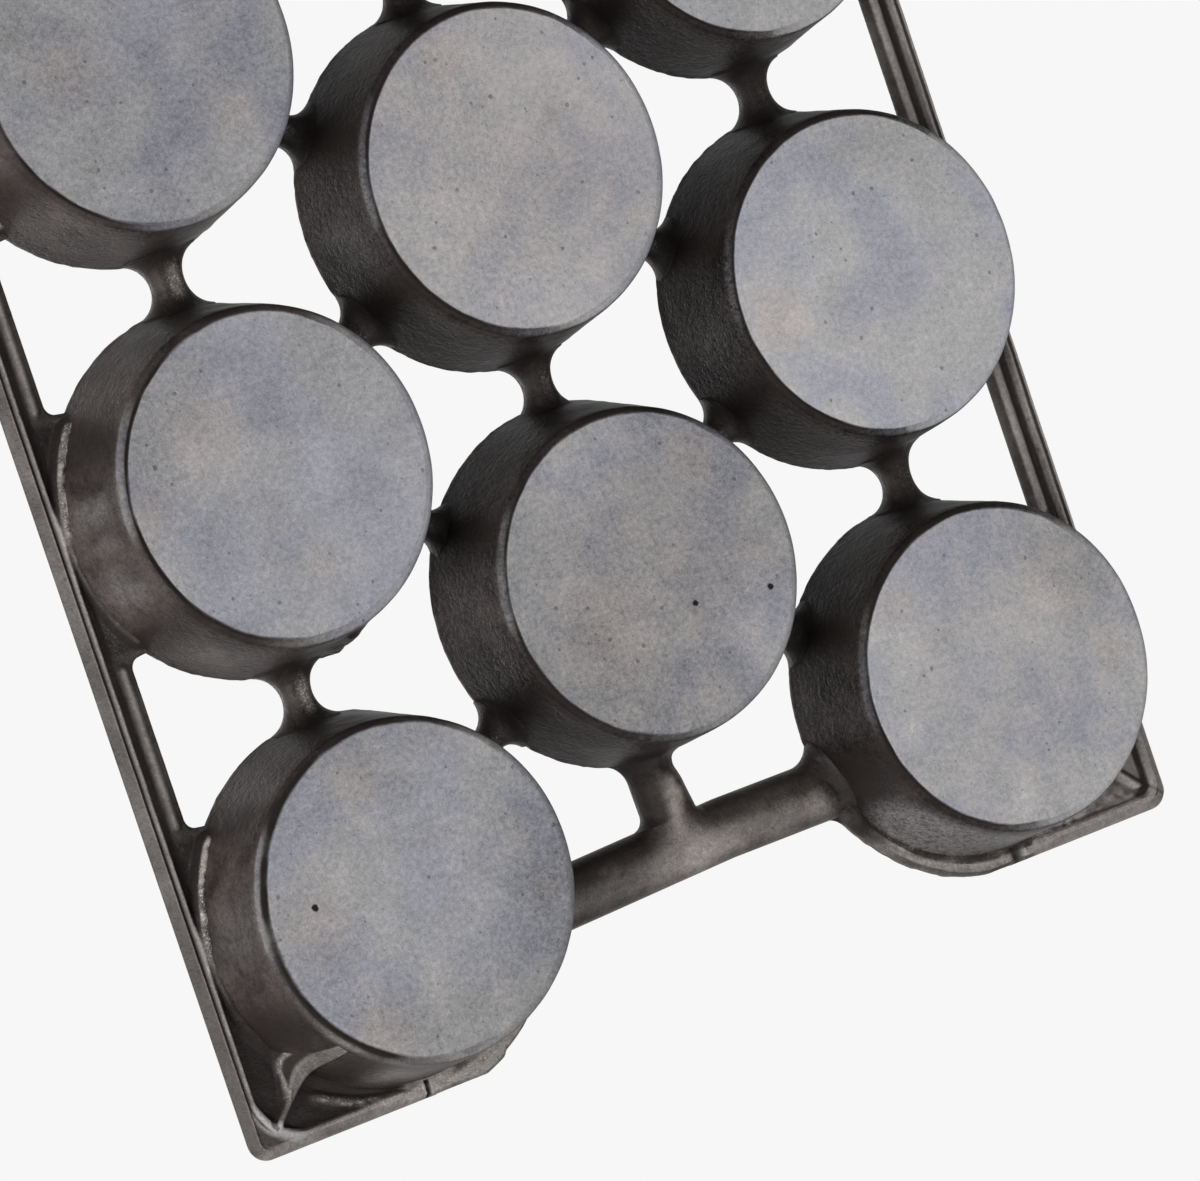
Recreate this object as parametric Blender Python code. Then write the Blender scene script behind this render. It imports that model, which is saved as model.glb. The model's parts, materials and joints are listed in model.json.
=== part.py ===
"""A cast-iron gem pan: eleven round cups joined by webs inside a thin frame, with a handle at each end.

The pan stands as it is used, on its cup bottoms with the mouths up. The frame has X across the pan, Y along it
and Z up, with the origin under the middle cup at the level of the cup bottoms. Lengths are in metres.

The real pan is one casting. Here it is split into its named regions, and each keeps a small clearance to the
next, so that every region is a solid of its own.
"""

from math import acos, asin, atan2, cos, hypot, pi, radians, sin, sqrt

import bmesh
import bpy
from mathutils import Matrix, Vector

# Cups
RIM_RADIUS = 0.0316
WALL_DRAFT = 0.0032
CUP_HEIGHT = 0.0200
CUP_WALL = 0.0028
CUP_FLOOR = 0.0030
BASE_ROUNDING = 0.0013
FLOOR_FILLET = 0.0040

# Layout: the free distance between two rims in a column, and between two rims of neighbouring columns
COLUMN_GAP = 0.0085
DIAGONAL_GAP = 0.0068
OUTER_CUPS = 4
MIDDLE_CUPS = 3

# Frame round the cups
RAIL_MARGIN = 0.0035
RAIL_WIDTH = 0.0082
RAIL_THICKNESS = 0.0024
RAIL_SIDE_SLOPE = 0.0013
GROOVE_WIDTH = 0.0016
GROOVE_DEPTH = 0.0011
GROOVE_FROM_EDGE = 0.0031
RAIL_WEB_REACH = 0.0215
WINDOW_FILLET = 0.0020
CORNER_RADIUS = 0.0035
END_MARGIN = 0.0031
FLANGE_WIDTH = 0.0033
FLANGE_BAND = 0.0024
FLANGE_FILLET = 0.0040
CORNER_WEB_THICKNESS = 0.0018
RIB_THICKNESS = 0.0020
RIB_HEIGHT = 0.0115
RIB_TOE_HEIGHT = 0.0008

# End handles
FINGER_GAP = 0.0093
BAR_WIDTH = 0.0107
BAR_THICKNESS = 0.0046
STEM_WIDTH = 0.0115
STEM_THICKNESS = 0.0042
STEM_OFFSET = 0.0020
STEM_FILLET = 0.0020
BAR_CROWN = 0.0030

# Struts and diagonal webs between the cups
STRUT_WAIST = 0.0060
STRUT_THICKNESS = 0.0040
WEB_WAIST = 0.0068
WEB_THICKNESS = 0.0034
STRUT_ROUNDING = 0.0010

# Gap kept between two regions of the casting, and the width at which a corner web's pointed ends are cut off
CLEARANCE = 0.0003
WEB_TIP = 0.0006

# Fineness of round shapes
CUP_STEPS = 40
SEAT_STEP = radians(7.5)
FILLET_STEP = radians(15)
FLOOR_STEPS = 4
ROUNDING_STEPS = 2
CROWN_STEPS = 4
RIB_STEPS = 6
TIP_SHARE = 0.80
CREASE_ANGLE = radians(35)
SAME_PLACE = 1e-6

# Sizes worked out from the ones above
COLUMN_PITCH = 2 * RIM_RADIUS + COLUMN_GAP
DIAGONAL_PITCH = 2 * RIM_RADIUS + DIAGONAL_GAP
COLUMN_SPACING = sqrt(DIAGONAL_PITCH**2 - (COLUMN_PITCH / 2) ** 2)
OUTER_ROW = (OUTER_CUPS - 1) / 2 * COLUMN_PITCH
MIDDLE_ROW = (MIDDLE_CUPS - 1) / 2 * COLUMN_PITCH
SEAT_RADIUS = RIM_RADIUS + CLEARANCE
RAIL_OUTER_X = COLUMN_SPACING + RIM_RADIUS + RAIL_MARGIN
RAIL_INNER_X = RAIL_OUTER_X - RAIL_WIDTH
END_Y = OUTER_ROW + RIM_RADIUS + END_MARGIN
FLANGE_INNER_Y = END_Y - FLANGE_WIDTH
BAR_INNER_Y = MIDDLE_ROW + RIM_RADIUS + FINGER_GAP
BAR_OUTER_Y = BAR_INNER_Y + BAR_WIDTH

# Each finish: its colour and its roughness
FINISHES = {
    "cup_iron": ((0.160, 0.158, 0.162), 0.42),
    "frame_iron": ((0.060, 0.054, 0.050), 0.38),
    "web_iron": ((0.045, 0.040, 0.037), 0.45),
    "handle_iron": ((0.065, 0.058, 0.053), 0.38),
}


def clear_scene():
    """Empty the file, so that only the pan is left in it."""
    for existing in list(bpy.data.objects):
        bpy.data.objects.remove(existing, do_unlink=True)


def make_material(name):
    """A seasoned cast-iron surface of the named region."""
    colour, roughness = FINISHES[name]
    material = bpy.data.materials.get(name) or bpy.data.materials.new(name)
    material.use_nodes = True
    shader = material.node_tree.nodes["Principled BSDF"]
    shader.inputs["Base Color"].default_value = (*colour, 1.0)
    shader.inputs["Roughness"].default_value = roughness
    shader.inputs["Metallic"].default_value = 0.55
    return material


def add_object(name, mesh, material_name, location=(0, 0, 0)):
    """Link a finished mesh into the scene as one named piece."""
    piece = bpy.data.objects.new(name, mesh)
    piece.location = location
    if not mesh.materials:
        mesh.materials.append(make_material(material_name))
    bpy.context.scene.collection.objects.link(piece)
    return piece


def arc(centre, radius, start, end):
    """Points of an arc, both ends included. It turns the way that end lies from start."""
    fineness = FILLET_STEP if radius < RIM_RADIUS / 2 else SEAT_STEP
    steps = max(1, round(abs(end - start) / fineness))
    return [
        Vector((
            centre[0] + radius * cos(start + (end - start) * step / steps),
            centre[1] + radius * sin(start + (end - start) * step / steps),
        ))
        for step in range(steps + 1)
    ]


def mirrored(outline, flip_x, flip_y):
    """The outline on the other side of the pan's middle lines, still turning the same way."""
    flipped = [Vector((point.x * flip_x, point.y * flip_y)) for point in outline]
    return flipped if flip_x * flip_y > 0 else flipped[::-1]


def prism(outline, thickness, top=CUP_HEIGHT):
    """A bmesh plate of that plan outline, whose upper face lies at the level top."""
    plate = bmesh.new()
    corners = [plate.verts.new((point.x, point.y, top)) for point in outline]
    face = plate.faces.new(corners)
    lowered = bmesh.ops.extrude_face_region(plate, geom=[face])
    new_verts = [item for item in lowered["geom"] if isinstance(item, bmesh.types.BMVert)]
    bmesh.ops.translate(plate, verts=new_verts, vec=(0, 0, -thickness))
    bmesh.ops.recalc_face_normals(plate, faces=plate.faces)
    return plate


def bevel_low_edges(plate, width, segments, wanted):
    """Round or chamfer the edges of the underside that wanted() picks by their two ends."""
    low = min(vert.co.z for vert in plate.verts)
    edges = [
        edge
        for edge in plate.edges
        if all(vert.co.z < low + SAME_PLACE for vert in edge.verts)
        and wanted(edge.verts[0].co, edge.verts[1].co)
    ]
    bmesh.ops.bevel(
        plate, geom=edges, offset=width, segments=segments, profile=0.5, affect="EDGES", clamp_overlap=True
    )


def finish(plate, name):
    """Turn the bmesh into a mesh whose flat faces stay crisp and whose round ones are smooth."""
    mesh = bpy.data.meshes.new(name)
    plate.to_mesh(mesh)
    plate.free()
    mesh.shade_smooth()
    mesh.set_sharp_from_angle(angle=CREASE_ANGLE)
    return mesh


def cup_profile():
    """The section of a cup, from the middle of its floor over the rim to the middle of its bottom."""
    slope = WALL_DRAFT / CUP_HEIGHT
    lean = atan2(WALL_DRAFT, CUP_HEIGHT)
    wall_run = CUP_WALL / cos(lean)

    def outer_radius(height):
        return RIM_RADIUS - slope * (CUP_HEIGHT - height)

    def inner_radius(height):
        return outer_radius(height) - wall_run

    # The floor fillet is tangent to the floor and to the leaning wall.
    fillet_height = CUP_FLOOR + FLOOR_FILLET
    fillet_centre = inner_radius(fillet_height) - FLOOR_FILLET / cos(lean)
    points = [(0.0, CUP_FLOOR)]
    for step in range(FLOOR_STEPS + 1):
        turn = -pi / 2 + (pi / 2 - lean) * step / FLOOR_STEPS
        points.append((fillet_centre + FLOOR_FILLET * cos(turn), fillet_height + FLOOR_FILLET * sin(turn)))
    points.append((inner_radius(CUP_HEIGHT), CUP_HEIGHT))
    points.append((RIM_RADIUS, CUP_HEIGHT))

    # The rounding under the cup is tangent to the leaning wall and to the flat bottom.
    rounding_centre = outer_radius(BASE_ROUNDING) - BASE_ROUNDING / cos(lean)
    for step in range(ROUNDING_STEPS + 1):
        turn = -lean - (pi / 2 - lean) * step / ROUNDING_STEPS
        points.append((rounding_centre + BASE_ROUNDING * cos(turn), BASE_ROUNDING + BASE_ROUNDING * sin(turn)))
    points.append((0.0, 0.0))
    return points


def cup_mesh():
    """The mesh that all the cups share: the section, turned about the upright axis through its middle."""
    turned = bmesh.new()
    section = [turned.verts.new((radius, 0, height)) for radius, height in cup_profile()]
    edges = [turned.edges.new(pair) for pair in zip(section, section[1:])]
    bmesh.ops.spin(
        turned, geom=section + edges, cent=(0, 0, 0), axis=(0, 0, 1), angle=2 * pi, steps=CUP_STEPS, use_merge=True
    )
    bmesh.ops.remove_doubles(turned, verts=turned.verts, dist=SAME_PLACE)
    bmesh.ops.recalc_face_normals(turned, faces=turned.faces)
    return finish(turned, "cup")


def waisted_outline(first, second, waist):
    """The plan of a web between two cups: each side is one round fillet that touches both rims.

    The fillet's centre lies on the line half-way between the cups, so its radius follows from the waist. Its
    thin tips along the rims are cut square.
    """
    span = hypot(second[0] - first[0], second[1] - first[1])
    half = span / 2
    radius = (half**2 + waist**2 / 4 - SEAT_RADIUS**2) / (2 * SEAT_RADIUS - waist)
    away = waist / 2 + radius
    sweep = atan2(half, away) * TIP_SHARE
    right_side = arc((0, -away), radius, pi / 2 + sweep, pi / 2 - sweep)
    tip = right_side[-1]
    seat_turn = asin(-tip.y / SEAT_RADIUS)
    end = arc((half, 0), SEAT_RADIUS, pi + seat_turn, pi - seat_turn)
    left_side = [Vector((-point.x, -point.y)) for point in right_side]
    other_end = [Vector((-point.x, -point.y)) for point in end]
    local = right_side + end + left_side + other_end
    turn = Matrix.Rotation(atan2(second[1] - first[1], second[0] - first[0]), 2)
    middle = Vector(((first[0] + second[0]) / 2, (first[1] + second[1]) / 2))
    return [middle + turn @ point for point in local], turn, middle


def make_web(name, first, second, waist, thickness):
    """A waisted web between two cups, with its lower side edges rounded."""
    outline, turn, middle = waisted_outline(first, second, waist)
    plate = prism(outline, thickness)
    back = turn.inverted()

    def on_a_side(start, end):
        along = back @ (end.xy - start.xy)
        centre = back @ ((start.xy + end.xy) / 2 - middle)
        return abs(along.x) > abs(along.y) and abs(centre.x) < COLUMN_GAP

    bevel_low_edges(plate, STRUT_ROUNDING, ROUNDING_STEPS, on_a_side)
    return add_object(name, finish(plate, name), "web_iron")


def rail_outline(side):
    """The plan of a side rail: straight outside, and scalloped inside where it holds the outer cups.

    The outline runs up the outer side and back down the inner one. Between two cups the inner side is the window's
    straight edge, with a round fillet at each end of the window.
    """
    outer = arc((RAIL_OUTER_X - CORNER_RADIUS, -END_Y + CORNER_RADIUS), CORNER_RADIUS, -pi / 2, 0)
    outer += arc((RAIL_OUTER_X - CORNER_RADIUS, END_Y - CORNER_RADIUS), CORNER_RADIUS, 0, pi / 2)
    seat_turn = asin(RAIL_WEB_REACH / SEAT_RADIUS)
    corner_turn = acos((RAIL_INNER_X - COLUMN_SPACING) / SEAT_RADIUS)
    inner = [Vector((RAIL_INNER_X, END_Y))]
    for row in reversed(range(OUTER_CUPS)):
        centre = (COLUMN_SPACING, -OUTER_ROW + row * COLUMN_PITCH)
        first = row == OUTER_CUPS - 1
        last = row == 0
        start = corner_turn if first else seat_turn
        end = -corner_turn if last else -seat_turn
        seat = arc(centre, SEAT_RADIUS, start, end)
        if not first:
            inner += arc(
                (RAIL_INNER_X - WINDOW_FILLET, centre[1] + RAIL_WEB_REACH + WINDOW_FILLET),
                WINDOW_FILLET, 0, -pi / 2,
            )
        inner += seat
        if not last:
            inner += arc(
                (RAIL_INNER_X - WINDOW_FILLET, centre[1] - RAIL_WEB_REACH - WINDOW_FILLET),
                WINDOW_FILLET, pi / 2, 0,
            )
    inner.append(Vector((RAIL_INNER_X, -END_Y)))
    return mirrored(outer + inner, side, 1)


def groove_cutter(name, side):
    """The shallow groove that runs along the underside of a rail, between its two beads."""
    low = CUP_HEIGHT - RAIL_THICKNESS
    outer_x = RAIL_OUTER_X - GROOVE_FROM_EDGE
    inner_x = outer_x - GROOVE_WIDTH
    end = END_Y - FLANGE_WIDTH
    outline = [Vector((inner_x, -end)), Vector((outer_x, -end)), Vector((outer_x, end)), Vector((inner_x, end))]
    cutter = prism(mirrored(outline, side, 1), 2 * GROOVE_DEPTH, low + GROOVE_DEPTH)
    piece = add_object(name + "_groove", finish(cutter, name + "_groove"), "frame_iron")
    piece.hide_render = True
    piece.display_type = "WIRE"
    return piece


def make_rail(name, side):
    """A side rail: a thin strip with a sloping outer side and a groove under it."""
    plate = prism(rail_outline(side), RAIL_THICKNESS)
    bend = RAIL_OUTER_X - CORNER_RADIUS - SAME_PLACE
    end_line = END_Y - SAME_PLACE

    def outside(start, end):
        return min(abs(start.x), abs(end.x)) > bend or min(abs(start.y), abs(end.y)) > end_line

    bevel_low_edges(plate, RAIL_SIDE_SLOPE, 1, outside)
    rail = add_object(name, finish(plate, name), "frame_iron")
    cut = rail.modifiers.new("groove", "BOOLEAN")
    cut.operation = "DIFFERENCE"
    cut.object = groove_cutter(name, side)
    return rail


def flange_outline(flip_x, flip_y):
    """The plan of an end flange: a straight strip from the rail to the cup, then a band round the cup's rim.

    The band ends on the handle's bar, with a round fillet into it.
    """
    centre = (COLUMN_SPACING, OUTER_ROW)
    rail_side = RAIL_INNER_X - CLEARANCE
    band_radius = SEAT_RADIUS + FLANGE_BAND
    bar_line = BAR_OUTER_Y + CLEARANCE
    rise = bar_line - centre[1]
    fillet_x = centre[0] - sqrt((band_radius + FLANGE_FILLET) ** 2 - (rise + FLANGE_FILLET) ** 2)
    fillet_centre = (fillet_x, bar_line + FLANGE_FILLET)
    touch = atan2(fillet_centre[1] - centre[1], fillet_centre[0] - centre[0])
    inner_end = pi - asin(rise / SEAT_RADIUS)
    inner_start = asin((FLANGE_INNER_Y - centre[1]) / SEAT_RADIUS)
    outline = [Vector((rail_side, FLANGE_INNER_Y)), Vector((rail_side, END_Y)), Vector((centre[0], END_Y))]
    outline += arc(centre, band_radius, pi / 2, touch)
    outline += arc(fillet_centre, FLANGE_FILLET, touch - pi, -pi / 2)[1:]
    outline += arc(centre, SEAT_RADIUS, inner_end, inner_start)
    return mirrored(outline, flip_x, flip_y)


def make_flange(name, flip_x, flip_y):
    """An end flange, whose straight stretch has the rail's sloping outer side."""
    plate = prism(flange_outline(flip_x, flip_y), RAIL_THICKNESS)
    limit = END_Y - RAIL_SIDE_SLOPE / 2

    def at_the_end(start, end):
        return min(abs(start.y), abs(end.y)) > limit

    bevel_low_edges(plate, RAIL_SIDE_SLOPE, 1, at_the_end)
    return add_object(name, finish(plate, name), "frame_iron")


def make_corner_web(name, flip_x, flip_y):
    """The thin floor in a corner of the frame, between the rail, the flange and the cup."""
    centre = (COLUMN_SPACING, OUTER_ROW)
    edge_x = RAIL_INNER_X - CLEARANCE
    edge_y = FLANGE_INNER_Y - CLEARANCE
    start = acos((edge_x - WEB_TIP - centre[0]) / SEAT_RADIUS)
    end = asin((edge_y - WEB_TIP - centre[1]) / SEAT_RADIUS)
    seat = arc(centre, SEAT_RADIUS, end, start)
    outline = seat + [Vector((edge_x, seat[-1].y)), Vector((edge_x, edge_y)), Vector((seat[0].x, edge_y))]
    plate = prism(mirrored(outline, flip_x, flip_y), CORNER_WEB_THICKNESS)
    return add_object(name, finish(plate, name), "web_iron")


def make_rib(name, flip_x, flip_y):
    """The rib that climbs from a corner of the frame to the cup's wall, with a hollow lower edge.

    Its edge drops as the square of the way left to the cup, so it is steep at the wall and flat at the corner.
    """
    centre = Vector((COLUMN_SPACING, OUTER_ROW))
    corner = Vector((RAIL_INNER_X - CLEARANCE, FLANGE_INNER_Y - CLEARANCE))
    way = corner - centre
    reach = way.length - RIB_THICKNESS
    top = CUP_HEIGHT - CORNER_WEB_THICKNESS
    slope = WALL_DRAFT / CUP_HEIGHT
    near = SEAT_RADIUS - slope * CORNER_WEB_THICKNESS
    foot = SEAT_RADIUS - slope * (CORNER_WEB_THICKNESS + RIB_HEIGHT)
    section = [(near, top), (foot, top - RIB_HEIGHT)]
    for step in range(1, RIB_STEPS + 1):
        share = step / RIB_STEPS
        drop = RIB_TOE_HEIGHT + (RIB_HEIGHT - RIB_TOE_HEIGHT) * (1 - share) ** 2
        section.append((foot + (reach - foot) * share, top - drop))
    section.append((reach, top))
    heading = way.normalized()
    across = Vector((-heading.y, heading.x)) * RIB_THICKNESS / 2
    rib = bmesh.new()
    corners = []
    for along, height in section:
        place = centre + heading * along - across
        corners.append(rib.verts.new((place.x * flip_x, place.y * flip_y, height)))
    face = rib.faces.new(corners)
    shifted = bmesh.ops.extrude_face_region(rib, geom=[face])
    moved = [item for item in shifted["geom"] if isinstance(item, bmesh.types.BMVert)]
    bmesh.ops.translate(rib, verts=moved, vec=(2 * across.x * flip_x, 2 * across.y * flip_y, 0))
    bmesh.ops.recalc_face_normals(rib, faces=rib.faces)
    return add_object(name, finish(rib, name), "web_iron")


def make_bar(name, flip_y):
    """The handle's bar between two corner cups, with a crowned underside."""
    centre = (COLUMN_SPACING, OUTER_ROW)
    low_turn = asin((BAR_INNER_Y - centre[1]) / SEAT_RADIUS)
    high_turn = asin((BAR_OUTER_Y - centre[1]) / SEAT_RADIUS)
    right_end = arc(centre, SEAT_RADIUS, pi - low_turn, pi - high_turn)
    left_end = [Vector((-point.x, point.y)) for point in reversed(right_end)]
    plate = prism(mirrored(right_end + left_end, 1, flip_y), BAR_THICKNESS)

    def along_the_bar(start, end):
        return abs(end.x - start.x) > BAR_WIDTH

    bevel_low_edges(plate, BAR_CROWN, CROWN_STEPS, along_the_bar)
    return add_object(name, finish(plate, name), "handle_iron")


def make_stem(name, flip_y):
    """The handle's stem, from the middle end cup to the bar. It stands a little off the middle line."""
    centre = (0.0, MIDDLE_ROW)
    half = STEM_WIDTH / 2
    left = -STEM_OFFSET - half
    right = -STEM_OFFSET + half
    bar_side = BAR_INNER_Y - CLEARANCE
    reach = SEAT_RADIUS + STEM_FILLET

    def flare(edge, outward):
        """Half the fillet between the cup's rim and that side of the stem, from the rim on."""
        middle_x = edge + outward * STEM_FILLET
        middle_y = centre[1] + sqrt(reach**2 - middle_x**2)
        touch = atan2(centre[1] - middle_y, -middle_x)
        side = pi if outward > 0 else 0.0
        side = side - 2 * pi if side > touch + pi else side
        turn = side - touch
        return arc((middle_x, middle_y), STEM_FILLET, touch + turn * (1 - TIP_SHARE), side)

    right_flare = flare(right, 1)
    left_flare = flare(left, -1)
    start = atan2(left_flare[0].y - centre[1], left_flare[0].x)
    end = atan2(right_flare[0].y - centre[1], right_flare[0].x)
    outline = arc(centre, SEAT_RADIUS, start, end) + right_flare
    outline += [Vector((right, bar_side)), Vector((left, bar_side))] + left_flare[::-1]
    plate = prism(mirrored(outline, 1, flip_y), STEM_THICKNESS)

    def along_the_stem(start, end):
        return abs(end.y - start.y) > abs(end.x - start.x)

    bevel_low_edges(plate, STRUT_ROUNDING, ROUNDING_STEPS, along_the_stem)
    return add_object(name, finish(plate, name), "handle_iron")


def column_places(column, count):
    """The cup centres of a column, from the front one to the back one."""
    first = -(count - 1) / 2 * COLUMN_PITCH
    return [(column * COLUMN_SPACING, first + row * COLUMN_PITCH) for row in range(count)]


def build_pan():
    """Model every region of the casting in its place."""
    clear_scene()
    columns = {
        "left": column_places(-1, OUTER_CUPS),
        "middle": column_places(0, MIDDLE_CUPS),
        "right": column_places(1, OUTER_CUPS),
    }
    cup = cup_mesh()
    for column, places in columns.items():
        for number, place in enumerate(places, 1):
            add_object(f"cup_{column}_{number}", cup, "cup_iron", (*place, 0))
        for number, (first, second) in enumerate(zip(places, places[1:]), 1):
            make_web(f"strut_{column}_{number}", first, second, STRUT_WAIST, STRUT_THICKNESS)

    for side in ("left", "right"):
        for number, middle in enumerate(columns["middle"], 1):
            for end, outer in zip(("front", "back"), columns[side][number - 1 : number + 1]):
                make_web(f"web_{side}_{number}_{end}", middle, outer, WEB_WAIST, WEB_THICKNESS)

    for side, flip_x in (("left", -1), ("right", 1)):
        make_rail(f"side_rail_{side}", flip_x)
        for end, flip_y in (("front", -1), ("back", 1)):
            make_flange(f"end_flange_{end}_{side}", flip_x, flip_y)
            make_corner_web(f"corner_web_{end}_{side}", flip_x, flip_y)
            make_rib(f"corner_rib_{end}_{side}", flip_x, flip_y)

    for end, flip_y in (("front", -1), ("back", 1)):
        make_bar(f"handle_bar_{end}", flip_y)
        make_stem(f"handle_stem_{end}", flip_y)


build_pan()
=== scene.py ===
"""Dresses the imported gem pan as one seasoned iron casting, seen from its underside.

The real pan is a single casting, so its pieces here run into each other and share one skin of iron: the cups
stand on the frame's plane, the webs and the rails run into their walls, and every finish reads the same
coordinates. Sizes are in metres. The rim plane is the level of the cup mouths, and a height in the frame's
functions is measured down from it, towards the cup bottoms.
"""

import json
import logging
import math
from dataclasses import dataclass, field, replace
from enum import Enum

import bpy
import numpy as np
from mathutils import Matrix, Vector

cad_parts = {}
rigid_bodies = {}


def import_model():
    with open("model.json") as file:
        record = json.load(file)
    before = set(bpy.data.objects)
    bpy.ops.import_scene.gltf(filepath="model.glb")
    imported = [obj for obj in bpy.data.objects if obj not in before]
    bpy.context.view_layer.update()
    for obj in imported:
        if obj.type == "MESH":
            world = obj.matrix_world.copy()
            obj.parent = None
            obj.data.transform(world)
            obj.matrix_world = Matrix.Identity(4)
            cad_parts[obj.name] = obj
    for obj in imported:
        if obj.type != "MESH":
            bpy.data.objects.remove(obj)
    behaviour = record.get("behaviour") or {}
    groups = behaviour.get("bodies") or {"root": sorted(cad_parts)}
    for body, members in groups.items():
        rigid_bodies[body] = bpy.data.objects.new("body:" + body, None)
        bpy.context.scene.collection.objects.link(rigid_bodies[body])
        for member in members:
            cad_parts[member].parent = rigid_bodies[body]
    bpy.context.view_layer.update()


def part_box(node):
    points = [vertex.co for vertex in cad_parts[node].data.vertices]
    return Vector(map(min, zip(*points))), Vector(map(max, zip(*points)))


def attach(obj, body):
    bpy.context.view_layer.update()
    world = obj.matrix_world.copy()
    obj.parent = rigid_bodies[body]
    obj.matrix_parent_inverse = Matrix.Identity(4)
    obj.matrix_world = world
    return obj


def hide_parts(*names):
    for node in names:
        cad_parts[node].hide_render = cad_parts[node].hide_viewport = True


LOG = logging.getLogger("gem_pan")
BODY = "root"
CREASE_ANGLE = math.radians(52)
SEAT_DEPTH = 0.0014
TOP_SINK = 0.00003
RIM_SHIFTS = {"cup_middle_3": -0.0007}

Array = np.ndarray
Material = bpy.types.Material
Socket = bpy.types.NodeSocket
Pair = tuple[float, float]
Triple = tuple[float, float, float]
Colour = Triple


class PlanWord(Enum):
    """A word for a part of the pan's plan, with its sign along an axis."""

    @property
    def word(self) -> str:
        """The word as it stands in a piece's name."""
        return self.name.lower()


class End(PlanWord):
    """Which end of the pan a piece belongs to, with the sign of its y."""

    FRONT = -1
    BACK = 1


class Side(PlanWord):
    """Which side of the pan a piece belongs to, with the sign of its x."""

    LEFT = -1
    RIGHT = 1


def smooth_step(value: Array) -> Array:
    """An even rise from 0 to 1 as value goes from 0 to 1: three times its square less twice its cube."""
    share = np.clip(value, 0.0, 1.0)
    return share * share * (3.0 - 2.0 * share)


def hump(value: Array) -> Array:
    """A raised cosine, 1 where value is 0 and 0 from one on either side."""
    return 0.5 + 0.5 * np.cos(math.pi * np.clip(value, -1.0, 1.0))


def turned_from(turn: Array, degrees: float) -> Array:
    """How many degrees each angle lies from a direction, from -180 to 180."""
    lean = turn - math.radians(degrees)
    return np.degrees(np.arctan2(np.sin(lean), np.cos(lean)))


def rising(value: Array, start: float, over: float) -> Array:
    """An even rise from 0 to 1 that begins at a value and takes so much more of it."""
    return smooth_step((value - start) / over)


def falling(value: Array, end: float, over: float) -> Array:
    """An even fall from 1 to 0 that ends at a value and takes so much of it before."""
    return smooth_step((end - value) / over)


def past(turn: Array, start: float, over: float) -> Array:
    """An even rise from 0 to 1 over so many degrees past a starting angle, for angles in radians."""
    return rising(turn, math.radians(start), math.radians(over))


def blend(first: Array, second: Array, share: Array) -> Array:
    """The first value, moved by a share of the way to the second."""
    return first + (second - first) * share


def quarter_round(value: Array) -> Array:
    """A quarter circle that leaves 0 upright and is level at 1: the root of one less (1 - value) squared."""
    return np.sqrt(1.0 - (1.0 - np.clip(value, 0.0, 1.0)) ** 2)


def inset_of_box(x: Array, y: Array, half_x: float, half_y: float, radius: float) -> Array:
    """How far inside a rounded rectangle each point of its first quarter lies.

    Args:
        x: distances from the pan's long middle line.
        y: distances from its short middle line.
        half_x: half the rectangle's width.
        half_y: half its length.
        radius: its corner radius.

    Returns:
        The radius less the distance to the rectangle that the corner centres span, negative outside.
    """
    over_x = x - (half_x - radius)
    over_y = y - (half_y - radius)
    outside = np.hypot(np.maximum(over_x, 0.0), np.maximum(over_y, 0.0))
    inside = np.minimum(np.maximum(over_x, over_y), 0.0)
    return radius - outside - inside


def lattice_value(cell: Array, seed: int) -> Array:
    """A fixed value in -1 to 1 for each whole-number cell, from a hash of its three numbers and the seed."""
    mixed = cell[..., 0] * 73856093 ^ cell[..., 1] * 19349663 ^ cell[..., 2] * 83492791 ^ seed * 915488749
    mixed = (mixed ^ (mixed >> 13)) * 1274126177
    mixed = (mixed ^ (mixed >> 16)) & 0xFFFFFF
    return mixed / float(0x7FFFFF) - 1.0


def cast_noise(points: Array, cell: float, seed: int, octaves: int = 2) -> Array:
    """Uneven cast relief in about -1 to 1: lattice values blended between cells, halved in size each octave.

    Args:
        points: places, with x, y and z along the last axis.
        cell: the size of the largest lumps.
        seed: picks one pattern.
        octaves: how many sizes are added up.

    Returns:
        One value for each place.
    """
    total = np.zeros(points.shape[:-1])
    weight_sum = 0.0
    for octave in range(octaves):
        weight = 0.5 ** octave
        scaled = points * (2.0 ** octave / cell) + 0.37 * octave
        base = np.floor(scaled)
        part = smooth_step(scaled - base)
        base = base.astype(np.int64)
        for corner in np.ndindex(2, 2, 2):
            step = np.array(corner)
            share = np.prod(np.where(step == 1, part, 1.0 - part), axis=-1)
            total += weight * share * lattice_value(base + step, seed + octave)
        weight_sum += weight
    return total / weight_sum


@dataclass(frozen=True)
class Grain:
    """One layer of cast unevenness: its rise, the width of its lumps, and what sets its pattern apart."""

    rise: float
    cell: float
    pick: int = 0
    octaves: int = 2

    def over(self, points: Array, seed: int) -> Array:
        """The layer's height at each place: cast_noise times the rise."""
        return self.rise * cast_noise(points, self.cell, seed + self.pick, self.octaves)

    def on_plan(self, x: Array, y: Array, seed: int) -> Array:
        """The layer's height over a plan, as over on the plane of height 0."""
        return self.over(np.stack([x, y, np.zeros_like(x)], axis=-1), seed)


def crowded(count: int) -> Array:
    """Places from -1 to 1 that lie closer together towards both ends: sines of even angles."""
    return np.sin(np.linspace(-math.pi / 2, math.pi / 2, count))


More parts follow.
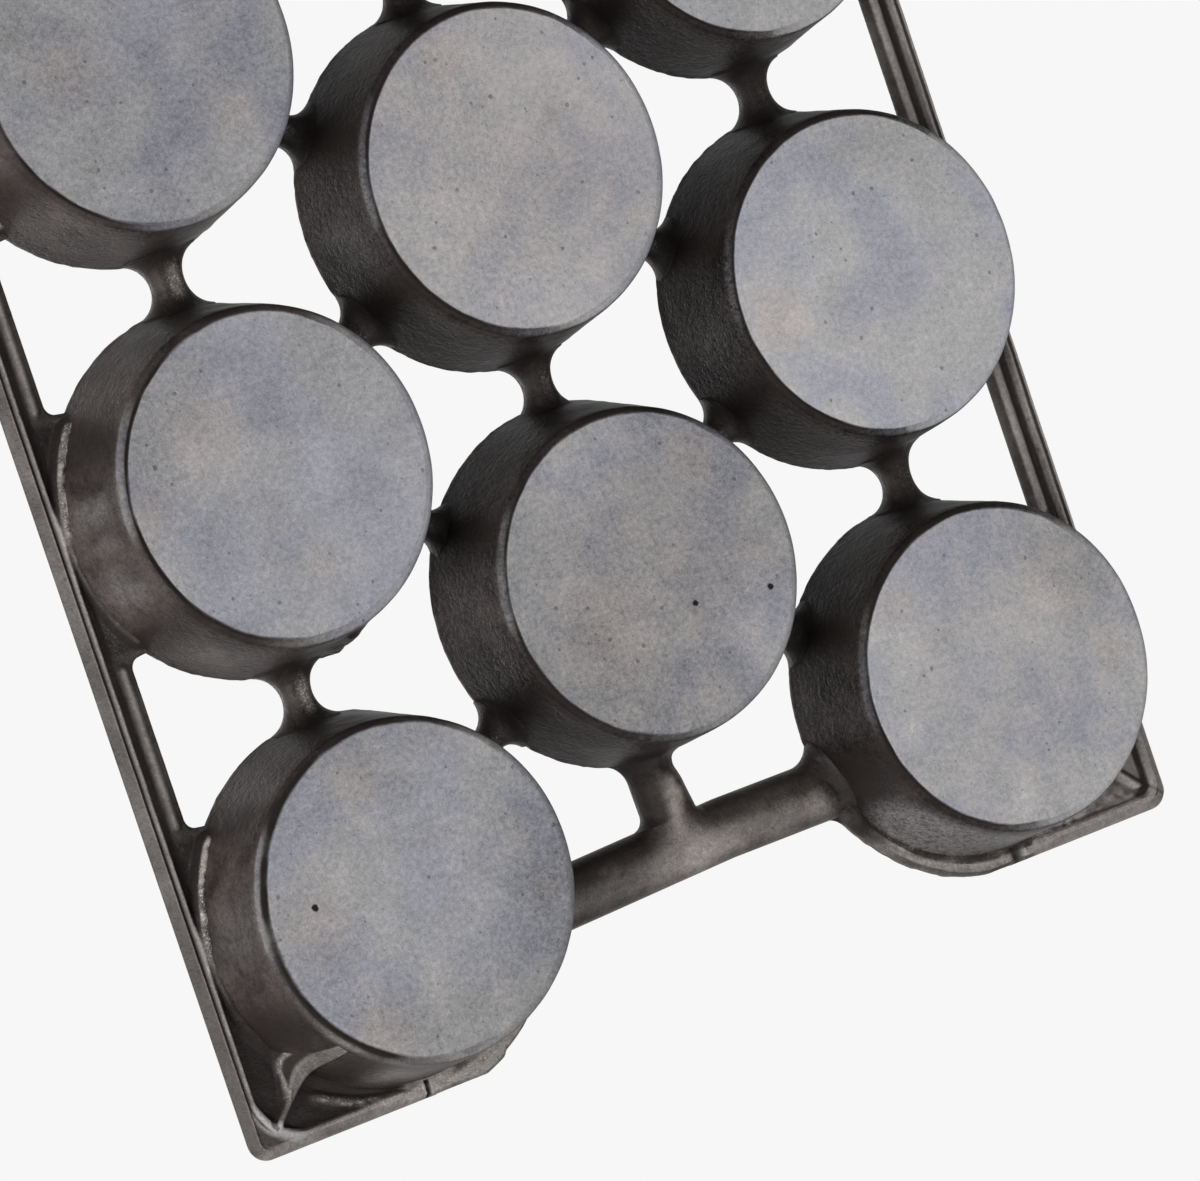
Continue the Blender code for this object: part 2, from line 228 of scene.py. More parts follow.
def grid_quads(rows: int, columns: int, start: int = 0, closed_columns: bool = False) -> Array:
    """Corner numbers of the quads between the points of a grid.

    Args:
        rows: points along the first axis.
        columns: points along the second axis.
        start: the number of the grid's first point.
        closed_columns: True where the last column joins the first.

    Returns:
        An array of four corner numbers for each quad.
    """
    number = start + np.arange(rows * columns).reshape(rows, columns)
    if closed_columns:
        number = np.concatenate([number, number[:, :1]], axis=1)
    corners = [number[:-1, :-1], number[:-1, 1:], number[1:, 1:], number[1:, :-1]]
    return np.stack(corners, axis=-1).reshape(-1, 4)


@dataclass
class Skin:
    """One closed surface: its points, its faces and the values painted on its points."""

    points: Array
    quads: Array
    triangles: Array
    paint: dict[str, Array] = field(default_factory=dict)

    def volume(self) -> float:
        """Six times the signed volume: each face's corner products, summed over its triangles."""
        quads = self.quads
        faces = np.concatenate([quads[:, [0, 1, 2]], quads[:, [0, 2, 3]], self.triangles])
        one, two, three = (self.points[faces[:, k]] for k in range(3))
        return float(np.einsum("ij,ij->", one, np.cross(two, three)))

    def outward(self) -> "Skin":
        """The same skin with its faces turned to point out of the metal."""
        if self.volume() < 0.0:
            self.quads = self.quads[:, ::-1]
            self.triangles = self.triangles[:, ::-1]
        return self


def slab_skin(under: Array, upper: Array, paint: dict[str, Array]) -> Skin:
    """Closes a slab between an underside grid and a top grid of the same size.

    Args:
        under: rows by columns by 3 places of the underside.
        upper: the same for the top, point over point.
        paint: painted values on the underside grid. The top has 0 of each, and 1 of mouth_side.

    Returns:
        The two grids and the four strips between their borders as one skin.
    """
    rows, columns = under.shape[:2]
    count = rows * columns
    number = np.arange(count).reshape(rows, columns)
    border = np.concatenate([number[0, :], number[1:, -1], number[-1, -2::-1], number[-2:0:-1, 0]])
    following = np.roll(border, -1)
    strips = np.stack([following, border, border + count, following + count], axis=-1)
    quads = np.concatenate([grid_quads(rows, columns), grid_quads(rows, columns, count)[:, ::-1], strips])
    points = np.concatenate([under.reshape(-1, 3), upper.reshape(-1, 3)])
    values = {name: np.concatenate([part.ravel(), np.zeros(count)]) for name, part in paint.items()}
    values["mouth_side"] = np.concatenate([np.zeros(count), np.ones(count)])
    return Skin(points, quads, np.zeros((0, 3), int), values).outward()


def slab_below(
    top: float, x: Array, y: Array, height: Array, paint: dict[str, Array], sink: float = 0.0
) -> Skin:
    """Closes a slab that hangs below a flat top.

    Args:
        top: the z that heights are measured down from.
        x: x of each place of a grid.
        y: y of each place.
        height: how far the underside lies below the top at each place.
        paint: painted values on the underside.
        sink: how far the slab's own flat top lies below that z.

    Returns:
        The closed slab.
    """
    under = np.stack([x, y, top - height], axis=-1)
    upper = np.stack([x, y, np.full_like(x, top - sink)], axis=-1)
    return slab_skin(under, upper, paint)


def turned_skin(radius: Array, height: Array, centre: Pair, paint: dict[str, Array]) -> Skin:
    """Closes a turned surface whose rings start and end on its axis.

    Args:
        radius: rings by angles, the radius of each point.
        height: rings by angles, the z of each point.
        centre: x and y of the axis.
        paint: painted values, rings by angles.

    Returns:
        The rings with a pole point at either end.
    """
    rings, angles = radius.shape
    turn = np.arange(angles) * (2.0 * math.pi / angles)
    grid = np.stack([centre[0] + radius * np.cos(turn), centre[1] + radius * np.sin(turn), height], axis=-1)
    first_pole = [centre[0], centre[1], float(height[0].mean())]
    last_pole = [centre[0], centre[1], float(height[-1].mean())]
    points = np.concatenate([grid.reshape(-1, 3), [first_pole, last_pole]])
    here = np.arange(angles)
    there = np.roll(here, -1)
    first = np.stack([np.full(angles, rings * angles), there, here], axis=-1)
    last = np.stack([np.full(angles, rings * angles + 1), here, there], axis=-1) + (rings - 1) * angles
    last[:, 0] = rings * angles + 1
    values = {name: np.concatenate([part.ravel(), [part[0, 0], part[-1, 0]]]) for name, part in paint.items()}
    quads = grid_quads(rings, angles, closed_columns=True)
    return Skin(points, quads, np.concatenate([first, last]), values).outward()


def add_object(name: str, data: bpy.types.ID) -> bpy.types.Object:
    """Makes a linked object at the origin."""
    thing = bpy.data.objects.new(name, data)
    bpy.context.scene.collection.objects.link(thing)
    return thing


def make_piece(name: str, skin: Skin, material: Material, nodes: list[str]) -> None:
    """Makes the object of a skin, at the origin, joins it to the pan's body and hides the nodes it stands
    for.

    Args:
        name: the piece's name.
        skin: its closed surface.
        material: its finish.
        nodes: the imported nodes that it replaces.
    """
    mesh = bpy.data.meshes.new(name)
    mesh.vertices.add(len(skin.points))
    mesh.vertices.foreach_set("co", skin.points.astype(np.float32).ravel())
    corners = np.concatenate([skin.quads.ravel(), skin.triangles.ravel()]).astype(np.int32)
    sizes = np.concatenate([np.full(len(skin.quads), 4), np.full(len(skin.triangles), 3)])
    mesh.loops.add(len(corners))
    mesh.loops.foreach_set("vertex_index", corners)
    mesh.polygons.add(len(sizes))
    mesh.polygons.foreach_set("loop_start", np.concatenate([[0], np.cumsum(sizes)[:-1]]).astype(np.int32))
    mesh.update(calc_edges=True)
    mesh.validate()
    for label, values in skin.paint.items():
        layer = mesh.attributes.new(label, "FLOAT", "POINT")
        layer.data.foreach_set("value", values.astype(np.float32))
    mesh.shade_smooth()
    mesh.set_sharp_from_angle(angle=CREASE_ANGLE)
    mesh.materials.append(material)
    piece = add_object(name, mesh)
    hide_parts(*nodes)
    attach(piece, BODY)
    LOG.info("%s: %d points for %s", name, len(skin.points), ", ".join(nodes))


def centre_of(node: str) -> Pair:
    """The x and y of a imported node's middle."""
    low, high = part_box(node)
    return ((low.x + high.x) / 2, (low.y + high.y) / 2)


@dataclass(frozen=True)
class PanPlan:
    """The pan's main places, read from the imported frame."""

    rim_height: float
    rim_radius: float
    column: float
    outer_row: float
    next_row: float
    end_middle_row: float
    half_width: float
    half_length: float
    window_side: float
    bar_inner: float
    bar_outer: float
    bar_height: float
    stem_height: float
    wall_draft: float = 0.0032
    wall_rise: float = 0.0187

    @property
    def wall_slope(self) -> float:
        """How much a cup's wall widens for each metre that it climbs from its foot."""
        return self.wall_draft / self.wall_rise

    @property
    def top(self) -> float:
        """The z of the flat tops of the frame and the webs, just under the cups' rims."""
        return self.rim_height - TOP_SINK

    @property
    def seat(self) -> float:
        """How far from a cup's axis the webs, the rails and the handles end, inside its wall."""
        return self.rim_radius - SEAT_DEPTH

    @classmethod
    def from_frame(cls) -> "PanPlan":
        """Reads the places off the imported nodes' boxes."""
        corner_low, corner_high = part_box("cup_right_4")
        column, outer_row = centre_of("cup_right_4")
        bar_low, bar_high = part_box("handle_bar_back")
        stem_low, stem_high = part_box("handle_stem_back")
        return cls(
            rim_height=corner_high.z,
            rim_radius=(corner_high.x - corner_low.x) / 2,
            column=column,
            outer_row=outer_row,
            next_row=centre_of("cup_right_3")[1],
            end_middle_row=centre_of("cup_middle_3")[1],
            half_width=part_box("side_rail_right")[1].x,
            half_length=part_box("end_flange_back_right")[1].y,
            window_side=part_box("corner_web_back_right")[1].x,
            bar_inner=bar_low.y,
            bar_outer=bar_high.y,
            bar_height=bar_high.z - bar_low.z,
            stem_height=stem_high.z - stem_low.z,
        )


@dataclass(frozen=True)
class IronFinish:
    """Cast iron under old seasoning, with grey metal where it is worn.

    Dark is the pair of colours that a mottle of seasoning runs between. The painted values move a place
    towards bare metal, with a painted highlight strip on the cups' rounding, soot and painted shade, warm
    brown, cool grey, pale scale, a rubbed edge with painted highlights and sheen, or painted glints. A tone
    above 0 lightens it, and one below 0 darkens it; on the cups' walls the tone is painted light and shade.
    Holes are small sand holes in the cups' bottoms, each with its x and y in the pan and its radius.
    """

    name: str
    dark: tuple[Colour, Colour]
    rubbed_and_highlight: Colour
    bare_cool: Colour = (0.222, 0.225, 0.252)
    bare_plain: Colour = (0.241, 0.238, 0.242)
    bare_warm: Colour = (0.263, 0.242, 0.236)
    bare_pale: Colour = (0.37, 0.352, 0.342)
    soot: Colour = (0.01, 0.0076, 0.0068)
    rust: Colour = (0.1, 0.078, 0.068)
    glint: Colour = (0.3, 0.276, 0.256)
    mouth: Colour = (0.024, 0.021, 0.02)
    specular: float = 0.12
    grain_relief: float = 0.00017
    lump_relief: float = 0.00012
    grain_shade: float = 1.4
    rub_and_highlight_swing: float = 0.45
    dark_roughness: float = 0.42
    bare_roughness: float = 0.55
    holes: tuple[Triple, ...] = ()

    def material(self) -> Material:
        """Builds the finish as a node material on Object coordinates."""
        material = bpy.data.materials.new(self.name)
        material.use_nodes = True
        tree = NodeSheet(material.node_tree)
        place = tree.add("TexCoord", {}).outputs["Object"]
        broad = tree.noise(place, 46.0, 2.0, 0.5, 0.5)
        patch = tree.noise(place, 165.0, 3.0, 0.55, 0.5)
        leather = tree.noise(place, 980.0, 3.0, 0.7, 0.3)
        speck = tree.noise(place, 1000.0, 2.0, 0.6, 0.2)
        grain = tree.noise(place, 2600.0, 2.0, 0.6, 0.0)
        fleck = tree.pits(place, speck, 520.0, 0.14)
        freckle = tree.pits(place, grain, 1250.0, 0.16)
        worn = tree.painted("worn")
        soot = tree.painted("soot")
        bare = self.bare_metal(tree, broad, patch, speck)
        mottle = tree.mix_value(0.5, broad, patch)
        dark = tree.mix_colour(tree.band(mottle, 0.38, 0.64), *self.dark)
        dark = tree.mix_colour(tree.faded(tree.painted("rust"), patch, 0.2, 0.85), dark, self.rust)
        # Rubbed wear, and painted highlights and sheen where the light falls, move towards the rubbed colour.
        rubbed_and_highlight = tree.faded(tree.painted("rubbed_and_highlight"), patch, 0.05, 1.0, self.rub_and_highlight_swing)
        dark = tree.mix_colour(rubbed_and_highlight, dark, self.rubbed_and_highlight)
        base = tree.mix_colour(worn, dark, bare)
        grainy = tree.times(tree.plus(tree.centred(speck), tree.centred(grain)), self.grain_shade)
        cloudy = tree.plus(tree.centred(broad), tree.times(tree.centred(patch), 0.8))
        cloudy = tree.plus(tree.times(cloudy, 0.5), tree.centred(leather))
        cloudy = tree.plus(cloudy, tree.times(tree.centred(grain), 0.55))
        shade = tree.plus(tree.mix_value(worn, grainy, cloudy), 1.0)
        base = tree.scaled(base, tree.plus(shade, tree.painted("tone")))
        glint = tree.times(tree.painted("glint"), tree.band(grain, 0.54, 0.68))
        base = tree.mix_colour(glint, base, self.glint)
        base = tree.mix_colour(tree.times(fleck, 0.45), base, self.soot)
        freckled = tree.times(tree.times(freckle, worn), 0.35)
        base = tree.mix_colour(freckled, base, self.soot)
        for x, y, radius in self.holes:
            inside = tree.within(place, (x, y, 0.0), radius, speck)
            base = tree.mix_colour(inside, base, self.soot)
        # Soot, and painted shade in hollows, creases and where parts meet, move towards the near-black
        # colour.
        base = tree.mix_colour(tree.faded(soot, patch, 0.05, 1.0), base, self.soot)
        base = tree.mix_colour(tree.painted("mouth_side"), base, self.mouth)
        rough = tree.mix_value(worn, self.dark_roughness, self.bare_roughness)
        rough = tree.plus(rough, tree.times(tree.centred(patch), 0.35))
        rough = tree.plus(rough, tree.times(soot, 0.15))
        lumps = tree.times(patch, self.lump_relief)
        grains = tree.times(grain, self.grain_relief * 0.4)
        specks = tree.times(speck, self.grain_relief)
        relief = tree.plus(lumps, tree.plus(grains, specks))
        relief = tree.times(relief, tree.mix_value(worn, 1.0, 0.3))
        relief = tree.plus(relief, tree.times(fleck, -0.00004))
        tree.iron_surface(base, rough, relief, self.specular)
        return material

    def bare_metal(self, tree: "NodeSheet", broad: object, patch: object, speck: object) -> Socket:
        """The worn metal's colour: soft cool and warm stains, where they are painted and a little beyond."""
        bare = tree.mix_colour(tree.band(broad, 0.4, 0.56), self.bare_cool, self.bare_plain)
        bare = tree.mix_colour(tree.times(tree.band(patch, 0.5, 0.75), 0.35), bare, self.bare_warm)
        bare = tree.mix_colour(tree.faded(tree.painted("cool"), patch, 0.05, 1.1), bare, self.bare_cool)
        bare = tree.mix_colour(tree.faded(tree.painted("rust"), patch, 0.05, 1.1), bare, self.bare_warm)
        return tree.mix_colour(tree.faded(tree.painted("pale"), speck, 0.1, 1.2), bare, self.bare_pale)


class NodeSheet:
    """A material's node tree, with the few kinds of node that the finishes are made of."""

    def __init__(self, tree: bpy.types.NodeTree) -> None:
        """Clears the tree and keeps it."""
        self.tree = tree
        self.tree.nodes.clear()

    def add(self, kind: str, inputs: dict[str | int, object], **settings: str) -> bpy.types.Node:
        """Adds a node.

        Args:
            kind: its type, without the word ShaderNode before it.
            inputs: what feeds its inputs, by their names or numbers: outputs, numbers or colours.
            settings: its own settings, such as its operation.

        Returns:
            The node, whose outputs can feed others.
        """
        node = self.tree.nodes.new("ShaderNode" + kind)
        for name, setting in settings.items():
            setattr(node, name, setting)
        for name, source in inputs.items():
            socket = node.inputs[name]
            if isinstance(source, Socket):
                self.tree.links.new(source, socket)
            elif isinstance(source, tuple):
                socket.default_value = (*source, 1.0)[: len(socket.default_value)]
            else:
                socket.default_value = source
        return node

    def value(self, operation: str, first: object, second: object) -> Socket:
        """Adds a Math node of two inputs."""
        return self.add("Math", {0: first, 1: second}, operation=operation).outputs[0]

    def times(self, first: object, second: object) -> Socket:
        """Multiplies two values."""
        return self.value("MULTIPLY", first, second)

    def plus(self, first: object, second: object) -> Socket:
        """Adds up two values."""
        return self.value("ADD", first, second)

    def noise(self, place: object, scale: float, detail: float, roughness: float, bend: float) -> Socket:
        """Adds a noise of that many lumps to the metre and returns its value."""
        inputs = {"Vector": place, "Scale": scale, "Detail": detail, "Roughness": roughness}
        return self.add("TexNoise", inputs | {"Distortion": bend}).outputs["Fac"]

    def pits(self, place: object, waver: object, scale: float, reach: float) -> Socket:
        """Adds scattered pits: 1 where the distance from a cell's point is under its own random reach."""
        cells = self.add("TexVoronoi", {"Vector": place, "Scale": scale})
        split = self.add("SeparateColor", {"Color": cells.outputs["Color"]})
        size = self.times(self.value("POWER", split.outputs[0], 5.0), reach * 1.8)
        bent = self.plus(cells.outputs["Distance"], self.times(self.centred(waver), reach))
        return self.band(self.value("SUBTRACT", size, bent), 0.0, reach * 0.5)

    def within(self, place: object, centre: tuple, radius: float, waver: object) -> Socket:
        """Adds 1 inside an uneven round patch about a point and 0 outside it."""
        apart = self.add("VectorMath", {0: place, 1: centre}, operation="DISTANCE").outputs["Value"]
        bent = self.plus(apart, self.times(self.centred(waver), radius))
        return self.value("SUBTRACT", 1.0, self.band(bent, radius * 0.7, radius * 1.15))

    def scaled(self, colour: object, share: object) -> Socket:
        """Multiplies a colour by a value."""
        return self.add("VectorMath", {0: colour, "Scale": share}, operation="SCALE").outputs["Vector"]

    def painted(self, name: str) -> Socket:
        """Reads a value painted on the piece's points."""
        return self.add("Attribute", {}, attribute_name=name).outputs["Fac"]

    def band(self, source: object, low: float, high: float) -> Socket:
        """Adds a smooth rise from 0 at low to 1 at high."""
        inputs = {"Value": source, "From Min": low, "From Max": high}
        return self.add("MapRange", inputs, interpolation_type="SMOOTHSTEP").outputs["Result"]

    def centred(self, source: object) -> Socket:
        """Takes a half off a noise, so that it swings about 0."""
        return self.value("SUBTRACT", source, 0.5)

    def faded(self, paint: object, noise: object, low: float, high: float, swing: float = 0.9) -> Socket:
        """Breaks up a painted value: it shows where paint plus the noise's swing passes from low to high."""
        swung = self.plus(paint, self.times(self.centred(noise), swing))
        shown = self.band(swung, low, high)
        return self.times(shown, self.band(paint, 0.0, 0.12))

    def mix_value(self, share: object, first: object, second: object) -> Socket:
        """Blends two values. The Mix node takes them as its inputs 2 and 3."""
        return self.add("Mix", {0: share, 2: first, 3: second}, data_type="FLOAT").outputs[0]

    def mix_colour(self, share: object, first: object, second: object) -> Socket:
        """Blends two colours. The Mix node takes them as its inputs 6 and 7, and its output 2 is a colour."""
        return self.add("Mix", {0: share, 6: first, 7: second}, data_type="RGBA").outputs[2]

    def iron_surface(self, base: object, rough: object, relief: object, specular: float) -> None:
        """Ends the tree in one rough, slightly glossy surface with its relief."""
        bump = self.add("Bump", {"Strength": 1.0, "Distance": 1.0, "Height": relief})
        inputs = {"Base Color": base, "Roughness": rough, "Specular IOR Level": specular}
        shader = self.add("BsdfPrincipled", inputs | {"Normal": bump.outputs[0]})
        self.add("OutputMaterial", {"Surface": shader.outputs[0]})


CUP_FINISH = IronFinish(
    "cup_iron_finish",
    dark=((0.0112, 0.0086, 0.0078), (0.0278, 0.0226, 0.021)),
    rubbed_and_highlight=(0.104, 0.097, 0.095),
    specular=0.05,
    rub_and_highlight_swing=0.18,
    holes=((-0.079, 0.1044, 0.0007), (0.0063, 0.079, 0.0006), (0.0211, 0.0807, 0.0006)),
)
FRAME_FINISH = IronFinish(
    "frame_iron_finish",
    dark=((0.024, 0.02, 0.0182), (0.048, 0.042, 0.039)),
    rubbed_and_highlight=(0.185, 0.168, 0.16),
    specular=0.09,
    grain_shade=0.9,
)
WEB_FINISH = IronFinish(
    "web_iron_finish",
    dark=((0.012, 0.0092, 0.008), (0.03, 0.024, 0.0215)),
    rubbed_and_highlight=(0.12, 0.104, 0.096),
    specular=0.1,
)
HANDLE_FINISH = IronFinish(
    "handle_iron_finish",
    dark=((0.016, 0.0122, 0.0106), (0.034, 0.0272, 0.0243)),
    rubbed_and_highlight=(0.205, 0.184, 0.174),
    specular=0.13,
    grain_relief=0.00014,
    grain_shade=1.0,
)


@dataclass(frozen=True)
class Stain:
    """A soft round stain on a cup's bottom, at x and y from the cup's axis."""

    x: float
    y: float
    radius: float
    share: float = 0.8

    def amount(self, x: Array, y: Array) -> Array:
        """The stain's share at each point: a raised cosine of the distance over its radius."""
        return self.share * hump(np.hypot(x - self.x, y - self.y) / self.radius)


@dataclass(frozen=True)
class Mark:
    """A soft mark up a cup's wall, at an angle round its axis in degrees, with its reach to either side."""

    turn: float
    reach: float
    share: float = 1.0

    def amount(self, turn: Array) -> Array:
        """The mark's share at each angle: a raised cosine of the angle from its middle over its reach."""
        return self.share * hump(turned_from(turn, self.turn) / self.reach)


def spots(*rows: tuple[float, ...]) -> tuple[Stain, ...]:
    """Stains, each from a row of its x, y and radius, and its share where it isn't the plain one."""
    return tuple(Stain(*row) for row in rows)


def marks(*rows: tuple[float, ...]) -> tuple[Mark, ...]:
    """Marks, each from a row of its angle, reach and share."""
    return tuple(Mark(*row) for row in rows)


def amount_round(marks_round: tuple[Mark, ...], turn: Array) -> Array:
    """The sum of several marks at each angle."""
    return sum((mark.amount(turn) for mark in marks_round), np.zeros_like(turn))


@dataclass(frozen=True)
class Arc:
    """A stretch round a cup: full about its middle angle, and fading out before its reach, in degrees."""

    turn: float
    reach: float
    fade: float

    def share(self, turn: Array) -> Array:
        """The share at each angle: an even fall from 1 to 0 over the last part of the reach."""
        return falling(np.abs(turned_from(turn, self.turn)), self.reach, self.fade)


@dataclass(frozen=True)
class CupWear:
    """What sets one cup apart from its neighbours: its stains, its rubbed places, its painted sheens and
    painted light and shade, and how its foot swells.
    """

    tone: float = 0.0
    # Painted light (above 0) and painted shade (below 0) on the cup's wall.
    wall_tone: float = 0.0
    warm: tuple[Stain, ...] = ()
    cool: tuple[Stain, ...] = ()
    pale: tuple[Stain, ...] = ()
    dark: tuple[Stain, ...] = ()
    shades: tuple[Mark, ...] = ()
    sheens: tuple[Mark, ...] = marks((180, 25, 0.3))
    sheen_height: float = 0.0095
    plain_streak_sheen: float = 0.14
    edge_sheens: tuple[Mark, ...] = ()
    edge_dark: float = 0.7
    edge_line: float = 0.00045
    edge_place: float = 0.0001
    # strip_light: how bright the painted highlight strip on the rounding's lit side is.
    strip_light: float = 0.28
    low_light: float = 0.8
    swells: tuple[Mark, ...] = ()
    swell_start: float = 0.02729
    seam_turn: float | None = None


BOTTOM, ROUNDING, WALL, RIM, HOLLOW, FILLET, FLOOR = range(7)


@dataclass
class CupSurface:
    """A cup's surface as rings by angles, with the arrays that both its relief and its wear are made from."""

    turn: Array
    stage: Array
    radius: Array
    height: Array
    x: Array
    y: Array
    places: Array
    near_rim: Array
    past_flat: Array


@dataclass
class CastCup:
    """One shallow round cup: flat worn bottom, drafted wall, plain rim and a filleted hollow."""

    plan: PanPlan
    node: str
    seed: int
    wear_and_light: CupWear
    contacts: tuple[Mark, ...] = ()
    rim_shift: float = 0.0
    flat_radius: float = 0.02729
    rounding: float = 0.0013
    rim_rounding: float = 0.00018
    rim_band: float = 0.0016
    wall: float = 0.0028
    floor: float = 0.003
    fillet: float = 0.004
    angles: int = 264
    lumps: Grain = Grain(0.00009, 0.009)
    pimples: Grain = Grain(0.00004, 0.0022, 5)
    flash_rise: float = 0.00016
    flash: Grain = Grain(1.0, 0.0016, 9)
    seam_rise: float = 0.001
    seam_lumps: Grain = Grain(0.0009, 0.0022, 11)
    seam_width: float = 6.5
    seam_ends: Pair = (0.0015, 0.019)
    sag: Grain = Grain(1.0, 0.016, 3)
    sag_depth: float = 0.00004
    line_depth: float = 0.00012
    line_breaks: Grain = Grain(1.6, 0.011, 6)
    outline: Grain = Grain(0.0003, 0.005, 7, 3)
    speckle: Grain = Grain(0.5, 0.0009, 12)
    sheen_streaks: Grain = Grain(0.5, 0.0042, 8)
    sheen_reach: float = 0.011
    strip_arc: Arc = Arc(198.0, 28.0, 14.0)
    low_arc: Arc = Arc(26.0, 94.0, 46.0)
    line_arc: Arc = Arc(186.0, 78.0, 24.0)

    def profile(self) -> tuple[Array, Array, Array]:
        """The half section from the bottom's centre round the wall and rim to the hollow's centre.

        Returns:
            The radii, the heights, and which part each point is on, from BOTTOM to FLOOR.
        """
        rim, top, flat = self.plan.rim_radius, self.plan.rim_height, self.flat_radius
        foot = rim - self.plan.wall_draft
        mouth, hollow = rim - self.wall, foot - self.wall
        lip, fillet = self.rim_rounding, self.fillet
        quarter = np.linspace(0.0, 1.0, 9)[1:] * math.pi / 2
        sine, cosine = np.sin(quarter), np.cos(quarter)
        spread = np.concatenate([np.linspace(0.04, 0.9, 22) ** 0.8, np.linspace(0.925, 1.0, 18)])
        parts = [
            (flat * spread, 0.0 * spread),
            (flat + (foot + 0.00017 - flat) * sine, self.rounding * (1.0 - cosine)),
            (np.linspace(foot + 0.00022, rim, 30)[1:], np.linspace(self.rounding, top - lip, 30)[1:]),
            (rim - lip * np.array([0.3, 1.0, 5.0, 10.0]), top - lip * np.array([0.3, 0.0, 0.0, 0.0])),
            (mouth + lip * np.array([1.0, 0.3, 0.0]), top - lip * np.array([0.0, 0.3, 1.0])),
            (np.linspace(mouth, hollow, 14)[1:], np.linspace(top - lip, self.floor + fillet, 14)[1:]),
            (hollow - fillet * (1.0 - cosine), self.floor + fillet * (1.0 - sine)),
            ((hollow - fillet) * np.linspace(1.0, 0.05, 16)[1:], np.full(15, self.floor)),
        ]
        stages = (BOTTOM, ROUNDING, WALL, RIM, RIM, HOLLOW, FILLET, FLOOR)
        stage = np.repeat(stages, [len(part[0]) for part in parts])
        return np.concatenate([part[0] for part in parts]), np.concatenate([part[1] for part in parts]), stage

    def surface(self) -> CupSurface:
        """The turned section with its cast relief, before its wear.

        Lumps cover the wall, flash the rim and, on one cup, a seam climbs the wall. Then the foot swells, the
        wall leans to one side and the flats sag a little.
        """
        section, level, stage = self.profile()
        turn = np.arange(self.angles) * (2.0 * math.pi / self.angles)
        rings = (section, level, stage)
        radius, height, stage = (np.repeat(part[:, None], self.angles, axis=1) for part in rings)
        x, y = radius * np.cos(turn), radius * np.sin(turn)
        centre = centre_of(self.node)
        places = np.stack([x + centre[0], y + centre[1], height], axis=-1)
        rim = self.plan.rim_height
        near_rim = rising(height, rim - self.rim_band, 0.0014)
        side = np.isin(stage, (ROUNDING, WALL))
        uneven = self.lumps.over(places, self.seed) + self.pimples.over(places, self.seed)
        flash = self.flash_rise * (self.flash.over(places, self.seed) + 0.3) * near_rim
        radius = radius + np.where(side, uneven + flash, 0.0) + np.where(stage == HOLLOW, 0.4 * uneven, 0.0)
        if self.wear_and_light.seam_turn is not None:
            first, last = self.seam_ends
            down = rising(height, first, 0.003) * falling(height, last, 0.002)
            lumps = self.seam_rise + self.seam_lumps.over(places, self.seed)
            on_seam = Mark(self.wear_and_light.seam_turn, self.seam_width).amount(turn)
            radius = radius + np.where(side, on_seam * down * np.maximum(lumps, 0.0), 0.0)
        past_flat = radius - self.flat_radius
        swell_start = self.wear_and_light.swell_start
        onto_rounding = rising(radius, swell_start, self.flat_radius + 0.0012 - swell_start)
        down_wall = 1.0 - np.clip((height - self.rounding) / (rim - self.rounding), 0.0, 1.0)
        swell = amount_round(self.wear_and_light.swells, turn) * 0.001
        radius = radius + swell * onto_rounding * down_wall * (stage <= WALL)
        radius = radius + self.rim_shift * np.clip(height / rim, 0.0, 1.0) * (stage <= RIM) * np.sin(turn)
        sag = self.sag_depth * (1.0 + self.sag.over(places, self.seed))
        height = height + np.where(stage == BOTTOM, sag, 0.0) + np.where(stage == FLOOR, 2.0 * sag, 0.0)
        return CupSurface(turn, stage, radius, height, x, y, places, near_rim, past_flat)

    def edge_line(self, cup: CupSurface) -> Array:
        """The dark line beside the worn flat: a narrow dip round part of the cup, broken in places."""
        broken = smooth_step(0.6 + self.line_breaks.over(cup.places, self.seed))
        off_line = (cup.past_flat - self.wear_and_light.edge_place) / self.wear_and_light.edge_line
        line = np.sqrt(hump(off_line)) * (cup.height < self.rounding * 0.7) * (cup.stage <= ROUNDING)
        return line * self.line_arc.share(cup.turn) * (0.5 + 0.5 * broken) * self.wear_and_light.edge_dark

    def worn(self, cup: CupSurface) -> Array:
        """Where the iron is worn bare, the flat with an uneven outline and an arc of its rounding, and where
        a strip of painted highlight lies on the rounding's lit side.
        """
        outline = self.outline.over(cup.places, self.seed)
        past_outline = cup.past_flat - self.wear_and_light.edge_place - outline
        on_flat = falling(past_outline, 0.0001, 0.0005) * (cup.stage <= ROUNDING)
        speckled = 0.75 + self.speckle.over(cup.places, self.seed)
        over_edge = falling(cup.height, self.rounding * 0.66, 0.0007) * (cup.stage <= ROUNDING)
        # The strip on the rounding's lit side is a painted highlight, partly worn metal.
        on_strip = falling(cup.height, self.rounding * 0.95, 0.0005) * (cup.stage == ROUNDING)
        on_strip = self.wear_and_light.strip_light * self.strip_arc.share(cup.turn) * speckled * on_strip
        return np.maximum(on_flat, on_strip + self.wear_and_light.low_light * self.low_arc.share(cup.turn) * over_edge)

